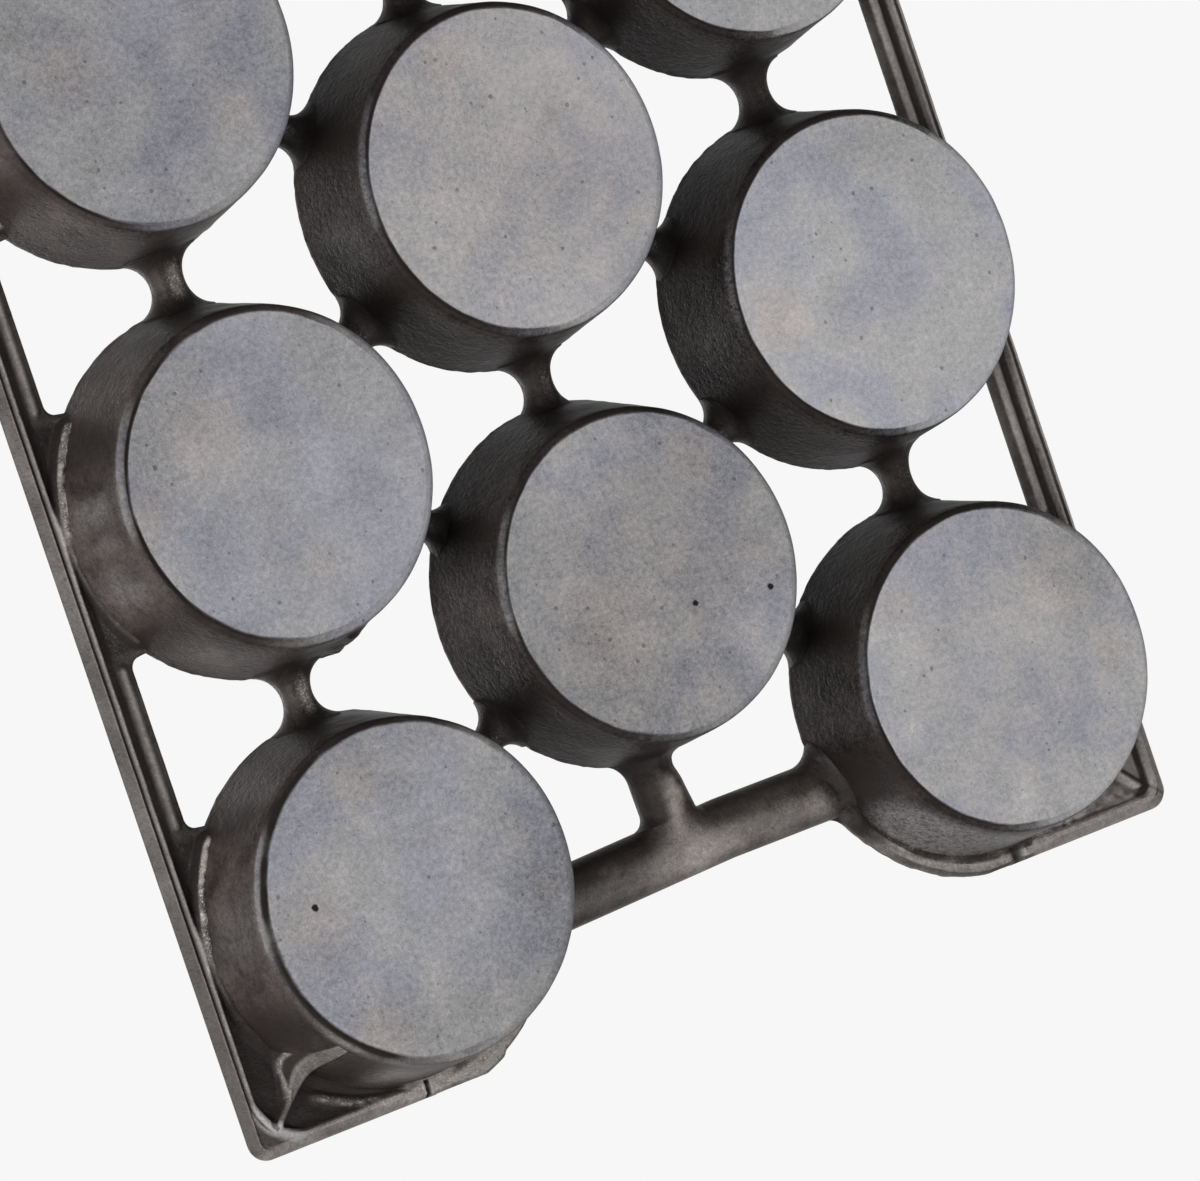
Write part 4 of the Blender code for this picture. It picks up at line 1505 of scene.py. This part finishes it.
@dataclass
class CornerCasting:
    """One corner of the frame: end flange, sunken web and rib, laid out round the corner cup."""

    underside: FrameUnderside
    side: Side
    end: End
    form: CornerForm
    seed: int
    bar_shift: float = 0.0
    inner_radius: float = 0.0292
    fillet: float = 0.004
    last_turn: float = math.radians(154.0)
    tail_rise: float = 0.0012
    columns: int = 100
    ragged: Grain = Grain(0.00016, 0.0016, 0, 3)

    def turns(self) -> Array:
        """The angles of the grid's rows round the cup: even, finer at the rib and at the notch."""
        form = self.underside
        even = np.linspace(0.0, self.last_turn, 230)
        rib = form.rib_turn + np.radians(np.linspace(-9.0, 6.0, 70))
        tick = math.pi / 2 - (form.notch_place - form.plan.column) / 0.0335
        notch = tick + np.radians(np.linspace(-2.6, 2.6, 34))
        return np.unique(np.round(np.concatenate([even, rib, notch]), 5))

    def outline(self, turn: Array) -> Array:
        """Outer radius at each angle about the corner cup.

        Up to a right angle it is the nearest of the side line, the end line and the corner's arc. Past it the
        band's arc runs on, and a hollow fillet leads from it to the handle bar's outer edge.
        """
        plan = self.underside.plan
        corner = self.underside.corner_radius
        side = plan.half_width - plan.column
        end = plan.half_length - plan.outer_row
        cosine, sine = np.cos(turn), np.sin(turn)
        straight = np.minimum(side / np.maximum(cosine, 1e-6), end / np.maximum(sine, 1e-6))
        along = (side - corner) * cosine + (end - corner) * sine
        missing = (side - corner) ** 2 + (end - corner) ** 2 - corner ** 2
        arc = along + np.sqrt(np.maximum(along ** 2 - missing, 0.0))
        in_arc = (arc * cosine > side - corner) & (arc * sine > end - corner) & (along ** 2 > missing)
        frame = np.where(in_arc, arc, straight)
        band = self.underside.band_radius(turn, self.form)
        tail = end - self.underside.flange_end_loss
        bar = plan.bar_outer + self.bar_shift - plan.outer_row
        centre_turn = math.pi - math.asin((bar + self.fillet) / (tail + self.fillet))
        reach = tail + self.fillet
        lean = turn - centre_turn
        short = np.maximum(self.fillet ** 2 - (reach * np.sin(lean)) ** 2, 0.0)
        chord = reach * np.cos(lean) - np.sqrt(short)
        band = np.where(lean > 0.0, chord, band)
        return np.where(turn <= math.pi / 2, frame, band)

    def skin(self) -> Skin:
        """The grid of angles about the cup and even steps from inside its wall to the outline."""
        form = self.underside
        plan = form.plan
        turn = self.turns()[:, None]
        outer = self.outline(turn)
        ragged = self.ragged.on_plan(turn * 0.034, np.full_like(turn, self.seed * 0.01), self.seed)
        outer = outer + (ragged - 0.0001) * past(turn, 91, 4)
        share = np.linspace(0.0, 1.0, self.columns)[None, :]
        radius = self.inner_radius + (outer - self.inner_radius) * share
        x = plan.column + radius * np.cos(turn)
        y = plan.outer_row + radius * np.sin(turn)
        east, north = self.side.value * x, self.end.value * y
        level, paint = form.height(east, north, self.form, self.seed)
        level = level + self.tail_rise * past(turn, 141, 11) * falling(radius, outer, 0.0016)
        # Darker past 124 degrees round the cup, towards the bar.
        paint["soot"] = np.maximum(paint["soot"], 0.85 * past(turn, 124, 20))
        return slab_below(plan.top, east, north, level, paint)

    def build(self, material: Material) -> None:
        """Makes the corner in place of its flange, web and rib."""
        where = f"{self.end.word}_{self.side.word}"
        nodes = [f"end_flange_{where}", f"corner_web_{where}", f"corner_rib_{where}"]
        make_piece(f"cast_corner_{where}", self.skin(), material, nodes)


@dataclass
class Handle:
    """The T-shaped handle of one end: a crowned bar between the corner cups, and a stem to the middle cup.

    The bar's left part drifts outwards a little, and the stem's two sides aren't quite parallel. Both
    surfaces follow one crown, so that the stem runs into the bar with no seam. Each outline is found in a few
    rounds, because its sides depend on each other.
    """

    plan: PanPlan
    end: End
    seed: int
    drift: float = 0.0
    cup_shift: float = 0.0
    drift_start: float = 0.008
    drift_reach: float = 0.036
    crown_power: float = 2.2
    edge_share: float = 0.14
    bar_fillet: float = 0.0022
    stem_fillet: float = 0.0024
    end_fillet: float = 0.0045
    stem_left: Pair = (-0.0066, -0.0063)
    stem_right: Pair = (0.00245, 0.004)
    tee_fillets: Pair = (0.0024, 0.0007)
    cup_fillets: Pair = (0.0042, 0.003)
    stem_light: float = 0.98
    bar_grid: tuple[int, int] = (57, 191)
    stem_grid: tuple[int, int] = (65, 81)
    rounds: int = 4
    bar_sink: float = 0.00003
    stem_sink: float = 0.00006
    stem_drop: float = 0.00008
    foot_reach: float = 0.00598
    foot_fade: float = 0.0046
    lumps: Grain = Grain(1.0, 0.005)
    pimples: Grain = Grain(1.0, 0.0013, 2)
    mottle: Grain = Grain(0.6, 0.0021, 6)

    def crowned(self, share: Array, foot: Array | float) -> Array:
        """A flattened oval section on a thin edge, which fines away where the bar runs into a cup.

        Args:
            share: the place across the bar, from -1 to 1.
            foot: 1 where the bar meets a cup's wall.

        Returns:
            The section's height as a share of the crown's.
        """
        power = self.crown_power - 0.8 * foot
        edge = self.edge_share * (1.0 - 0.85 * foot)
        oval = (1.0 - np.minimum(np.abs(share), 1.0) ** power) ** (1.0 / power)
        return edge + (1.0 - edge) * oval

    def middle_line(self, x: Array) -> Array:
        """The y of the bar's middle: straight, but for the drift to the left of its start."""
        plan = self.plan
        drift = self.drift * np.maximum(self.drift_start - x, 0.0) / self.drift_reach
        return (plan.bar_inner + plan.bar_outer) / 2 + drift

    def inner_line(self, x: Array) -> Array:
        """The y of the bar's inner edge, which curls towards the middle cup in a fillet at its right end."""
        plan = self.plan
        touch = plan.column - math.sqrt(plan.rim_radius ** 2 - (plan.bar_inner - plan.outer_row) ** 2)
        curl = self.end_fillet * (1.0 - quarter_round((touch - x) / self.end_fillet))
        return self.middle_line(x) - (plan.bar_outer - plan.bar_inner) / 2 - np.minimum(curl, 0.0035)

    def stem_edges(self, y: Array, x_near: Array) -> tuple[Array, Array]:
        """The x of the stem's two sides at each y, flared at the cup and at the bar.

        Args:
            y: places along the stem.
            x_near: about where each place lies across it.

        Returns:
            The left side and the right side.
        """
        from_bar = self.inner_line(x_near) - y
        up = y - self.plan.end_middle_row - self.cup_shift
        along = np.clip((up - self.plan.rim_radius) / 0.0115, 0.0, 1.0)
        sides = []
        parts = zip((-1, 1), (self.stem_left, self.stem_right), self.cup_fillets, self.tee_fillets)
        for sign, edge, cup_round, tee_round in parts:
            flared = sign * blend(*edge, along) + self.cup_flare(up, sign * edge[0], cup_round)
            sides.append(sign * (flared + tee_round * (1.0 - quarter_round(from_bar / tee_round))))
        return sides[0], sides[1]

    def bar_light(self, across: Array, x: Array) -> Array:
        """The bar's painted highlight, with some rubbing: on its outer half, and most along x where the stem
        joins.
        """
        by_stem = hump((x + 0.001) / 0.015)
        plain = 0.4 + 0.06 * smooth_step(x / 0.004)
        level = blend(plain, self.stem_light, by_stem)
        return level * rising(across, -0.65, 0.8) * (1.0 - 0.45 * rising(across, 0.45, 0.5))

    def bar_shade(self, across: Array) -> Array:
        """How dark the bar's two edges are: much at the inner one, and a little at the outer one."""
        return falling(across, -0.3, 0.6) + 0.35 * rising(across, 0.75, 0.25)

    def cup_flare(self, up: Array, edge: float, fillet: float) -> Array:
        """How far a fillet between the stem's side and the cup's rim circle moves the side outwards.

        Args:
            up: distances from the cup's axis along the stem.
            edge: the side's distance from the line through the axis.
            fillet: the fillet's radius. Its centre lies that far from the side and from the rim.

        Returns:
            The radius less the fillet's half chord at each place, held where the fillet touches the rim.
        """
        rim = self.plan.rim_radius
        centre = math.sqrt((rim + fillet) ** 2 - (edge + fillet) ** 2)
        short = np.clip(centre - up, 0.0, centre - centre * rim / (rim + fillet))
        return fillet - np.sqrt(fillet ** 2 - short ** 2)

    def finish_skin(
        self, x: Array, y: Array, height: Array, shade: Array, foot: Array, lit: Array, sink: float
    ) -> Skin:
        """Adds cast relief, wear and painted light and shade to heights over a plan, and closes the slab up
        to the rim plane.

        Args:
            x: x of each place.
            y: y of each place, for the back handle.
            height: its height below the rim plane.
            shade: painted shade with some seasoning, from 0 on the crown to 1 at a thin edge out of the
                light.
            foot: 1 where the piece meets a cup's wall.
            lit: painted highlight with some rubbing on the crown, from 0 to 1.
            sink: how far the piece's top lies below the frame's, so that no two tops share a plane.

        Returns:
            The closed slab.
        """
        fine, coarse = self.pimples.on_plan(x, y, self.seed), self.lumps.on_plan(x, y, self.seed)
        rough = (0.00012 * coarse + 0.00003 * fine + 0.0002 * foot * fine) * (height > 0.001)
        # Painted shade, with some soot, at the feet and on the edges out of the light, and a painted
        # highlight on the crown.
        paint = {
            "rubbed_and_highlight": np.clip(lit * (1.0 - foot) * (0.9 + 0.25 * coarse), 0.0, 1.0),
            "soot": np.clip(0.95 * foot + 0.65 * shade * (1.0 - foot), 0.0, 1.0),
            "rust": 0.25 * (1.0 - shade) * (1.0 - lit),
            "glint": 0.35 * foot * smooth_step(0.5 + fine) + 0.12 * lit,
        }
        return slab_below(self.plan.top, x, self.end.value * y, height + rough, paint, sink)

    def away_from_wall(self, x: Array, y: Array, column: float, row: float, foot: float) -> Array:
        """Distance from a cup's drafted wall at the height of a foot's top."""
        return np.hypot(x - column, y - row) - (self.plan.rim_radius - self.plan.wall_slope * foot)

    def bar_skin(self) -> Skin:
        """The bar as a function of s along it and t across it, its ends sunk in the corner cups' walls.

        Where the stem joins, t is scaled down on that side by the place across the stem, so that the crown
        turns into the stem's.
        """
        plan = self.plan
        t = crowded(self.bar_grid[0])[None, :]
        s = crowded(self.bar_grid[1])[:, None]
        half = (plan.bar_outer - plan.bar_inner) / 2
        x = s * (plan.column - plan.seat) + 0 * t
        for _ in range(self.rounds):
            middle = self.middle_line(x)
            y = middle + t * np.where(t < 0.0, middle - self.inner_line(x), half)
            x = s * (plan.column - np.sqrt(plan.seat ** 2 - (y - plan.outer_row) ** 2))
        foot_top = plan.bar_height + self.bar_fillet
        away = self.away_from_wall(np.abs(x), y, plan.column, plan.outer_row, foot_top)
        rise = self.bar_fillet * (1.0 - quarter_round(away / self.bar_fillet))
        left, right = self.stem_edges(self.inner_line(x), x)
        place = np.abs(2.0 * (x - left) / (right - left) - 1.0)
        across = np.where(t < 0.0, t * np.minimum(place, 1.0), t)
        foot = falling(away, self.foot_reach, self.foot_fade)
        height = self.crowned(across, 0.0) * (plan.bar_height + rise)
        lit = self.bar_light(across, x)
        return self.finish_skin(x, y, height, self.bar_shade(across), foot, lit, self.bar_sink)

    def stem_skin(self) -> Skin:
        """The stem as a function of s across it and t along it, from in the cup's wall to in the bar."""
        plan = self.plan
        s = crowded(self.stem_grid[0])[None, :]
        t = np.linspace(0.0, 1.0, self.stem_grid[1])[:, None]
        x = (self.stem_left[0] + self.stem_right[0]) / 2 + s * 0.006 + 0 * t
        for _ in range(self.rounds):
            start = plan.end_middle_row + self.cup_shift + np.sqrt(plan.seat ** 2 - x ** 2)
            stop = self.inner_line(x) + 0.0012
            y = start + (stop - start) * t
            left, right = self.stem_edges(y, x)
            x = (left + right) / 2 + s * (right - left) / 2
        row = plan.end_middle_row + 0.67 * self.cup_shift
        away = self.away_from_wall(x, y, 0.0, row, plan.stem_height + self.stem_fillet)
        rise = self.stem_fillet * (1.0 - quarter_round(away / self.stem_fillet))
        from_bar = self.inner_line(x) - y
        swell = (plan.bar_height - plan.stem_height) * falling(from_bar, 0.004, 0.004)
        foot = falling(away, self.foot_reach, self.foot_fade)
        height = self.crowned(s + 0 * t, foot) * (plan.stem_height + rise + swell)
        height = height - self.stem_drop * falling(from_bar, 0.0, 0.0002)
        mottled = 0.8 + self.mottle.on_plan(x, y, self.seed)
        # The stem's painted highlight lies right of its middle, mottled.
        lit = 1.2 * hump((s - 0.16) / 0.74) * mottled * smooth_step(away / 0.003)
        to_bar = falling(from_bar, 0.005, 0.005)
        lit = blend(lit, self.bar_light(-np.abs(s), x), to_bar)
        shade = falling(s, -0.1, 0.8) + 0.6 * rising(s, 0.7, 0.25)
        shade = blend(shade, self.bar_shade(-np.abs(s)), to_bar)
        return self.finish_skin(x, y, height, shade, foot, lit, self.stem_sink)

    def build(self, material: Material) -> None:
        """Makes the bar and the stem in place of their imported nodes."""
        for part, skin in (("bar", self.bar_skin()), ("stem", self.stem_skin())):
            where = f"{part}_{self.end.word}"
            make_piece(f"cast_{where}", skin, material, [f"handle_{where}"])


@dataclass
class Lamp:
    """A soft rectangular lamp that looks at the pan, and isn't seen by the camera."""

    name: str
    place: Triple
    width: float
    length: float
    energy: float

    def build(self) -> None:
        """Makes the lamp, turned to the pan's middle."""
        data = bpy.data.lights.new(self.name, "AREA")
        data.shape = "RECTANGLE"
        data.size = self.width
        data.size_y = self.length
        data.energy = self.energy
        lamp = add_object(self.name, data)
        lamp.location = self.place
        lamp.rotation_euler = (-Vector(self.place)).to_track_quat("-Z", "Y").to_euler()
        lamp.visible_camera = False


@dataclass
class StudioStage:
    """A plain pale studio: lamps, world, a floor that is seen from above, and the photograph's camera."""

    backdrop: Colour = (0.93, 0.93, 0.93)
    plain_level: float = 0.27
    floor_size: float = 6.0
    floor_level: float = -0.0002
    camera_place: Triple = (-0.54597, 0.02751, -0.98919)
    camera_right: Triple = (0.82729, 0.31936, -0.46216)
    camera_down: Triple = (-0.29869, 0.94683, 0.11961)
    camera_ahead: Triple = (0.47578, 0.03909, 0.87869)
    lens: float = 201.86
    sensor: float = 36.0

    def world(self) -> None:
        """Shows the backdrop to camera, glossy and transmission rays, and a plain level to the rest."""
        world = bpy.data.worlds.new("studio_world")
        bpy.context.scene.world = world
        world.use_nodes = True
        sheet = NodeSheet(world.node_tree)
        rays = sheet.add("LightPath", {}).outputs
        seen = sheet.value("MAXIMUM", rays["Is Camera Ray"], rays["Is Glossy Ray"])
        seen = sheet.value("MAXIMUM", seen, rays["Is Transmission Ray"])
        colour = sheet.mix_colour(seen, (self.plain_level,) * 3, self.backdrop)
        background = sheet.add("Background", {"Color": colour})
        sheet.add("OutputWorld", {"Surface": background.outputs[0]})

    def floor_material(self) -> Material:
        """A pale floor for the camera above it, clear to everything else, so that it hides nothing below."""
        material = bpy.data.materials.new("studio_floor")
        material.use_nodes = True
        sheet = NodeSheet(material.node_tree)
        rays = sheet.add("LightPath", {}).outputs
        back = sheet.add("NewGeometry", {}).outputs["Backfacing"]
        shown = sheet.times(rays["Is Camera Ray"], sheet.value("SUBTRACT", 1.0, back))
        pale = sheet.add("BsdfDiffuse", {"Color": self.backdrop})
        clear = sheet.add("BsdfTransparent", {})
        mixed = sheet.add("MixShader", {0: shown, 1: clear.outputs[0], 2: pale.outputs[0]})
        sheet.add("OutputMaterial", {"Surface": mixed.outputs[0]})
        return material

    def floor(self) -> None:
        """Makes the floor just under the cups."""
        half = self.floor_size / 2
        mesh = bpy.data.meshes.new("floor")
        corners = [(-half, -half), (half, -half), (half, half), (-half, half)]
        mesh.from_pydata([(x, y, self.floor_level) for x, y in corners], [], [(0, 1, 2, 3)])
        mesh.materials.append(self.floor_material())
        add_object("floor", mesh)

    def camera(self) -> None:
        """Sets the camera at the photograph's viewing angle."""
        data = bpy.data.cameras.new("photo_camera")
        data.sensor_width = self.sensor
        data.lens = self.lens
        data.clip_start = 0.05
        data.clip_end = 20.0
        camera = add_object("photo_camera", data)
        up = -Vector(self.camera_down)
        back = -Vector(self.camera_ahead)
        turn = Matrix((Vector(self.camera_right), up, back)).transposed()
        camera.matrix_world = Matrix.Translation(self.camera_place) @ turn.to_4x4()
        bpy.context.scene.camera = camera

    def build(self) -> None:
        """Makes the lamps, the world, the floor and the camera."""
        lamps = (
            Lamp("key_softbox", (0.25, 0.95, -1.25), 1.2, 1.2, 18.0),
            Lamp("left_strip", (-1.35, -0.25, -0.75), 0.5, 1.6, 15.0),
            Lamp("low_strip", (-1.55, 0.35, -0.25), 0.5, 1.6, 48.0),
            Lamp("mouth_softbox", (-0.2, 0.1, 1.8), 1.4, 1.4, 26.0),
        )
        for lamp in lamps:
            lamp.build()
        self.world()
        self.floor()
        self.camera()
        bpy.context.scene.view_settings.view_transform = "Standard"


# Column defaults: the walls get painted light on the left column and painted shade on the middle and right
# ones.
LEFT_WEAR_AND_LIGHT = CupWear(wall_tone=0.12)
MIDDLE_WEAR_AND_LIGHT = CupWear(wall_tone=-0.3)
RIGHT_WEAR_AND_LIGHT = CupWear(wall_tone=-0.55, strip_light=0.2, plain_streak_sheen=0.03, low_light=1.0)
COLUMN_WEARS_AND_LIGHTS = {"left": LEFT_WEAR_AND_LIGHT, "middle": MIDDLE_WEAR_AND_LIGHT, "right": RIGHT_WEAR_AND_LIGHT}
# Each cup's sheens and edge_sheens are painted reflections up its wall and along its foot.
CUP_WEARS_AND_LIGHTS = {
    "cup_left_4": replace(
        LEFT_WEAR_AND_LIGHT,
        tone=-0.09,
        warm=spots(
            (-0.0046, -0.0211, 0.011), (-0.0196, -0.0007, 0.0135), (-0.0144, 0.02, 0.0125, 0.9),
            (0.022, 0.007, 0.007, 0.6),
        ),
        cool=spots((0.0016, 0.0021, 0.016), (0.0106, -0.017, 0.009)),
        shades=marks((20, 80, -0.27), (100, 55, -0.16), (190, 60, -0.06), (270, 60, -0.12)),
        sheens=marks((186, 26, 0.18), (112, 24, 0.44), (150, 18, 0.26)),
        edge_sheens=marks((138, 44, 0.55)),
        edge_dark=1.0,
        edge_line=0.0006,
        edge_place=0.0003,
        swells=marks((192, 130, 0.75), (15, 120, 0.65)),
        swell_start=0.0266,
    ),
    "cup_left_3": replace(
        LEFT_WEAR_AND_LIGHT,
        tone=-0.1,
        warm=spots((-0.0103, -0.0095, 0.015), (-0.0249, -0.0009, 0.009), (0.0021, 0.0162, 0.0065, 0.7)),
        cool=spots(
            (0.0106, 0.0048, 0.015), (-0.0166, 0.0174, 0.011), (0.0022, -0.0209, 0.011),
            (0.0, 0.0, 0.06, 0.4),
        ),
        shades=marks((50, 85, 0.12), (215, 60, -0.19), (315, 45, -0.08)),
        sheens=marks((186, 10, 0.42), (176, 5, 0.3), (160, 14, 0.4), (234, 16, 0.1), (122, 14, 0.3)),
        edge_dark=0.85,
        edge_line=0.0005,
        edge_place=-0.0002,
        seam_turn=78.0,
    ),
    "cup_left_2": replace(
        LEFT_WEAR_AND_LIGHT,
        tone=-0.22,
        warm=spots((-0.0133, -0.0014, 0.0125), (0.0138, 0.0125, 0.0125, 0.6)),
        cool=spots((0.004, -0.006, 0.012, 0.6), (0.0, 0.0, 0.06, 0.35)),
        dark=spots((-0.0126, 0.0112, 0.005, 0.25)),
        shades=marks((45, 40, 0.06), (215, 60, -0.09)),
        sheens=marks((122, 14, 0.19), (160, 15, 0.32)),
    ),
    "cup_middle_3": replace(
        MIDDLE_WEAR_AND_LIGHT,
        tone=-0.25,
        warm=spots(
            (-0.0125, 0.0067, 0.014, 0.6), (0.0147, -0.0166, 0.0077, 0.5), (0.002, 0.002, 0.05, 0.55),
        ),
        cool=spots((-0.0009, -0.0233, 0.008, 0.7)),
        pale=spots((0.0099, -0.0225, 0.0035, 0.6)),
        shades=marks((42, 36, 0.22), (130, 55, -0.13), (250, 50, 0.19)),
        sheens=marks((168, 18, 0.13), (112, 16, 0.28)),
        edge_dark=0.85,
    ),
    "cup_middle_2": replace(
        MIDDLE_WEAR_AND_LIGHT,
        warm=spots((-0.0068, -0.0213, 0.007, 0.6), (0.0, 0.0, 0.06, 0.66)),
        cool=spots((-0.006, 0.001, 0.014, 0.4)),
        pale=spots((-0.0106, 0.02, 0.01, 0.25)),
        dark=spots((0.01, -0.0071, 0.0045, 0.25)),
        shades=marks((90, 60, 0.13), (220, 45, -0.07), (330, 60, 0.11)),
        sheens=marks((175, 25, 0.26)),
    ),
    "cup_right_4": replace(
        RIGHT_WEAR_AND_LIGHT,
        tone=0.01,
        wall_tone=-0.37,
        warm=spots(
            (0.0216, 0.004, 0.006, 0.7), (-0.0169, -0.017, 0.007, 0.6), (0.014, -0.01, 0.011, 0.5),
            (0.0, 0.0, 0.06, 0.35),
        ),
        cool=spots((-0.006, 0.0, 0.013, 0.7)),
        pale=spots((-0.0212, 0.0046, 0.0045, 0.55), (-0.0049, 0.0227, 0.006, 0.55)),
        shades=marks((205, 70, 0.11), (325, 50, -0.23)),
        sheens=marks((120, 46, 2.0)),
        sheen_height=0.0105,
        swells=marks((10, 130, 1.0)),
        swell_start=0.0245,
    ),
    "cup_right_3": replace(
        RIGHT_WEAR_AND_LIGHT,
        tone=0.14,
        warm=spots((-0.0206, 0.0024, 0.011, 1.0)),
        cool=spots((-0.0139, -0.007, 0.0085)),
        pale=spots((-0.0097, 0.0137, 0.013, 0.25)),
        shades=marks((150, 90, 0.08), (292, 70, -0.18)),
        sheens=marks((175, 20, 0.34)),
        swells=marks((15, 120, 0.5)),
        swell_start=0.0245,
    ),
}


WEB_EDGES = {
    "strut_left_2": (0.0017, 0.0041),
    "strut_left_3": (0.0031, 0.0019),
    "strut_middle_2": (0.0015, 0.0037),
    "strut_right_2": (0.0028, 0.0028),
    "strut_right_3": (0.0, 0.0053),
    "web_left_2_front": (0.0036, 0.002),
    "web_left_2_back": (0.0026, 0.004),
    "web_left_3_front": (0.0052, -0.0004),
    "web_left_3_back": (0.0022, 0.003),
    "web_right_2_back": (0.0018, 0.0032),
    "web_right_3_front": (0.002, 0.0034),
    "web_right_3_back": (0.0034, 0.002),
}
# How much painted highlight the struts of each column get, most on the left towards the lamps.
STRUT_LIGHTS = {"left": 1.75, "middle": 0.38, "right": 0.22}
FIRST_WEB_SEED = 301


def contacts_of(plan: PanPlan, name: str, webs: list[WaistedWeb]) -> tuple[Mark, ...]:
    """The painted shade, with some seasoning, on a cup's wall where webs, the frame and the handle run into
    it.

    Args:
        plan: the pan's places.
        name: the cup's node.
        webs: all webs between cups.

    Returns:
        A mark for each contact. Those of the frame and the handle are turned to the cup's side and end.
    """
    here = centre_of(name)
    others = [web.ends[1 - k] for web in webs for k in (0, 1) if math.dist(web.ends[k], here) < 0.001]
    found = [Mark(math.degrees(math.atan2(y - here[1], x - here[0])), 21.0) for x, y in others]
    rise = (plan.bar_inner + plan.bar_outer) / 2 - plan.outer_row
    at_bar = 180.0 - math.degrees(math.asin(rise / plan.rim_radius))
    at_end = abs(here[1]) > plan.next_row + 0.01
    own = ()
    if abs(here[0]) < 0.001 and at_end:
        own = marks((94, 16, 0.9))
    elif abs(here[0]) > 0.001 and at_end:
        own = marks((-42, 14, 0.9), (28, 20, 0.9), (54, 13, 0.8), (at_bar, 17))
    elif abs(here[0]) > 0.001:
        own = marks((-29, 16, 0.8), (38, 13, 0.95))
    east, north = math.copysign(1.0, here[0]), math.copysign(1.0, here[1])
    for mark in own:
        angle = math.radians(mark.turn)
        turned = math.degrees(math.atan2(north * math.sin(angle), east * math.cos(angle)))
        found.append(replace(mark, turn=turned))
    return tuple(found)


def cups_of(plan: PanPlan, webs: list[WaistedWeb]) -> list[CastCup]:
    """The eleven cups, each with its own wear and painted light, and painted shade where webs meet its wall.
    """
    names = [f"cup_{side}_{number}" for side in ("left", "right") for number in range(1, 5)]
    names += [f"cup_middle_{number}" for number in range(1, 4)]
    return [
        CastCup(
            plan,
            name,
            11 + 17 * index,
            CUP_WEARS_AND_LIGHTS.get(name, COLUMN_WEARS_AND_LIGHTS[name.split("_")[1]]),
            contacts_of(plan, name, webs),
            RIM_SHIFTS.get(name, 0.0),
        )
        for index, name in enumerate(names)
    ]


def webs_of(plan: PanPlan) -> list[WaistedWeb]:
    """The struts between neighbours in a column, and the diagonal webs between columns.

    The pattern's webs were cut by hand: the two edges of each lie at their own distances from the line
    between its cups, low x first on a strut, and low y first on a diagonal web.
    """
    webs = []
    for column, struts in (("left", 3), ("middle", 2), ("right", 3)):
        for number in range(1, struts + 1):
            ends = (centre_of(f"cup_{column}_{number + 1}"), centre_of(f"cup_{column}_{number}"))
            node, seed = f"strut_{column}_{number}", FIRST_WEB_SEED + len(webs)
            edges = WEB_EDGES.get(node, (0.0027, 0.0027))
            webs.append(WaistedWeb(plan, node, ends, edges, 0.004, seed, STRUT_LIGHTS[column]))
    for column in ("left", "right"):
        for number in range(1, 4):
            for word, other in (("front", number), ("back", number + 1)):
                ends = tuple(sorted([centre_of(f"cup_middle_{number}"), centre_of(f"cup_{column}_{other}")]))
                node, seed = f"web_{column}_{number}_{word}", FIRST_WEB_SEED + len(webs)
                edges = WEB_EDGES.get(node, (0.003, 0.003))
                webs.append(WaistedWeb(plan, node, ends, edges, 0.0034, seed))
    return webs


def main() -> None:
    """Loads the frame and builds the pan's pieces and the studio."""
    logging.basicConfig(level=logging.INFO, format="%(message)s")
    for left_over in list(bpy.data.objects):
        bpy.data.objects.remove(left_over)
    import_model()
    plan = PanPlan.from_frame()
    cup_iron, frame_iron = CUP_FINISH.material(), FRAME_FINISH.material()
    web_iron, handle_iron = WEB_FINISH.material(), HANDLE_FINISH.material()
    webs = webs_of(plan)
    for cup in cups_of(plan, webs):
        cup.build(cup_iron)
    for web in webs:
        web.build(web_iron)
    underside = FrameUnderside(plan)
    forms = {Side.LEFT: LEFT_CORNER, Side.RIGHT: RIGHT_CORNER}
    drifts = {End.FRONT: 0.0, End.BACK: 0.0016}
    for side in Side:
        SideRail(underside, side, forms[side], 71).build(frame_iron)
        for end in End:
            bar_shift = 1.25 * drifts[end] if side is Side.LEFT else 0.0
            CornerCasting(underside, side, end, forms[side], 71, bar_shift).build(frame_iron)
    for end in End:
        cup_shift = RIM_SHIFTS.get(f"cup_middle_{2 + end.value}", 0.0)
        Handle(plan, end, 91 + end.value, drifts[end], cup_shift).build(handle_iron)
    StudioStage().build()


if __name__ == "__main__":
    main()
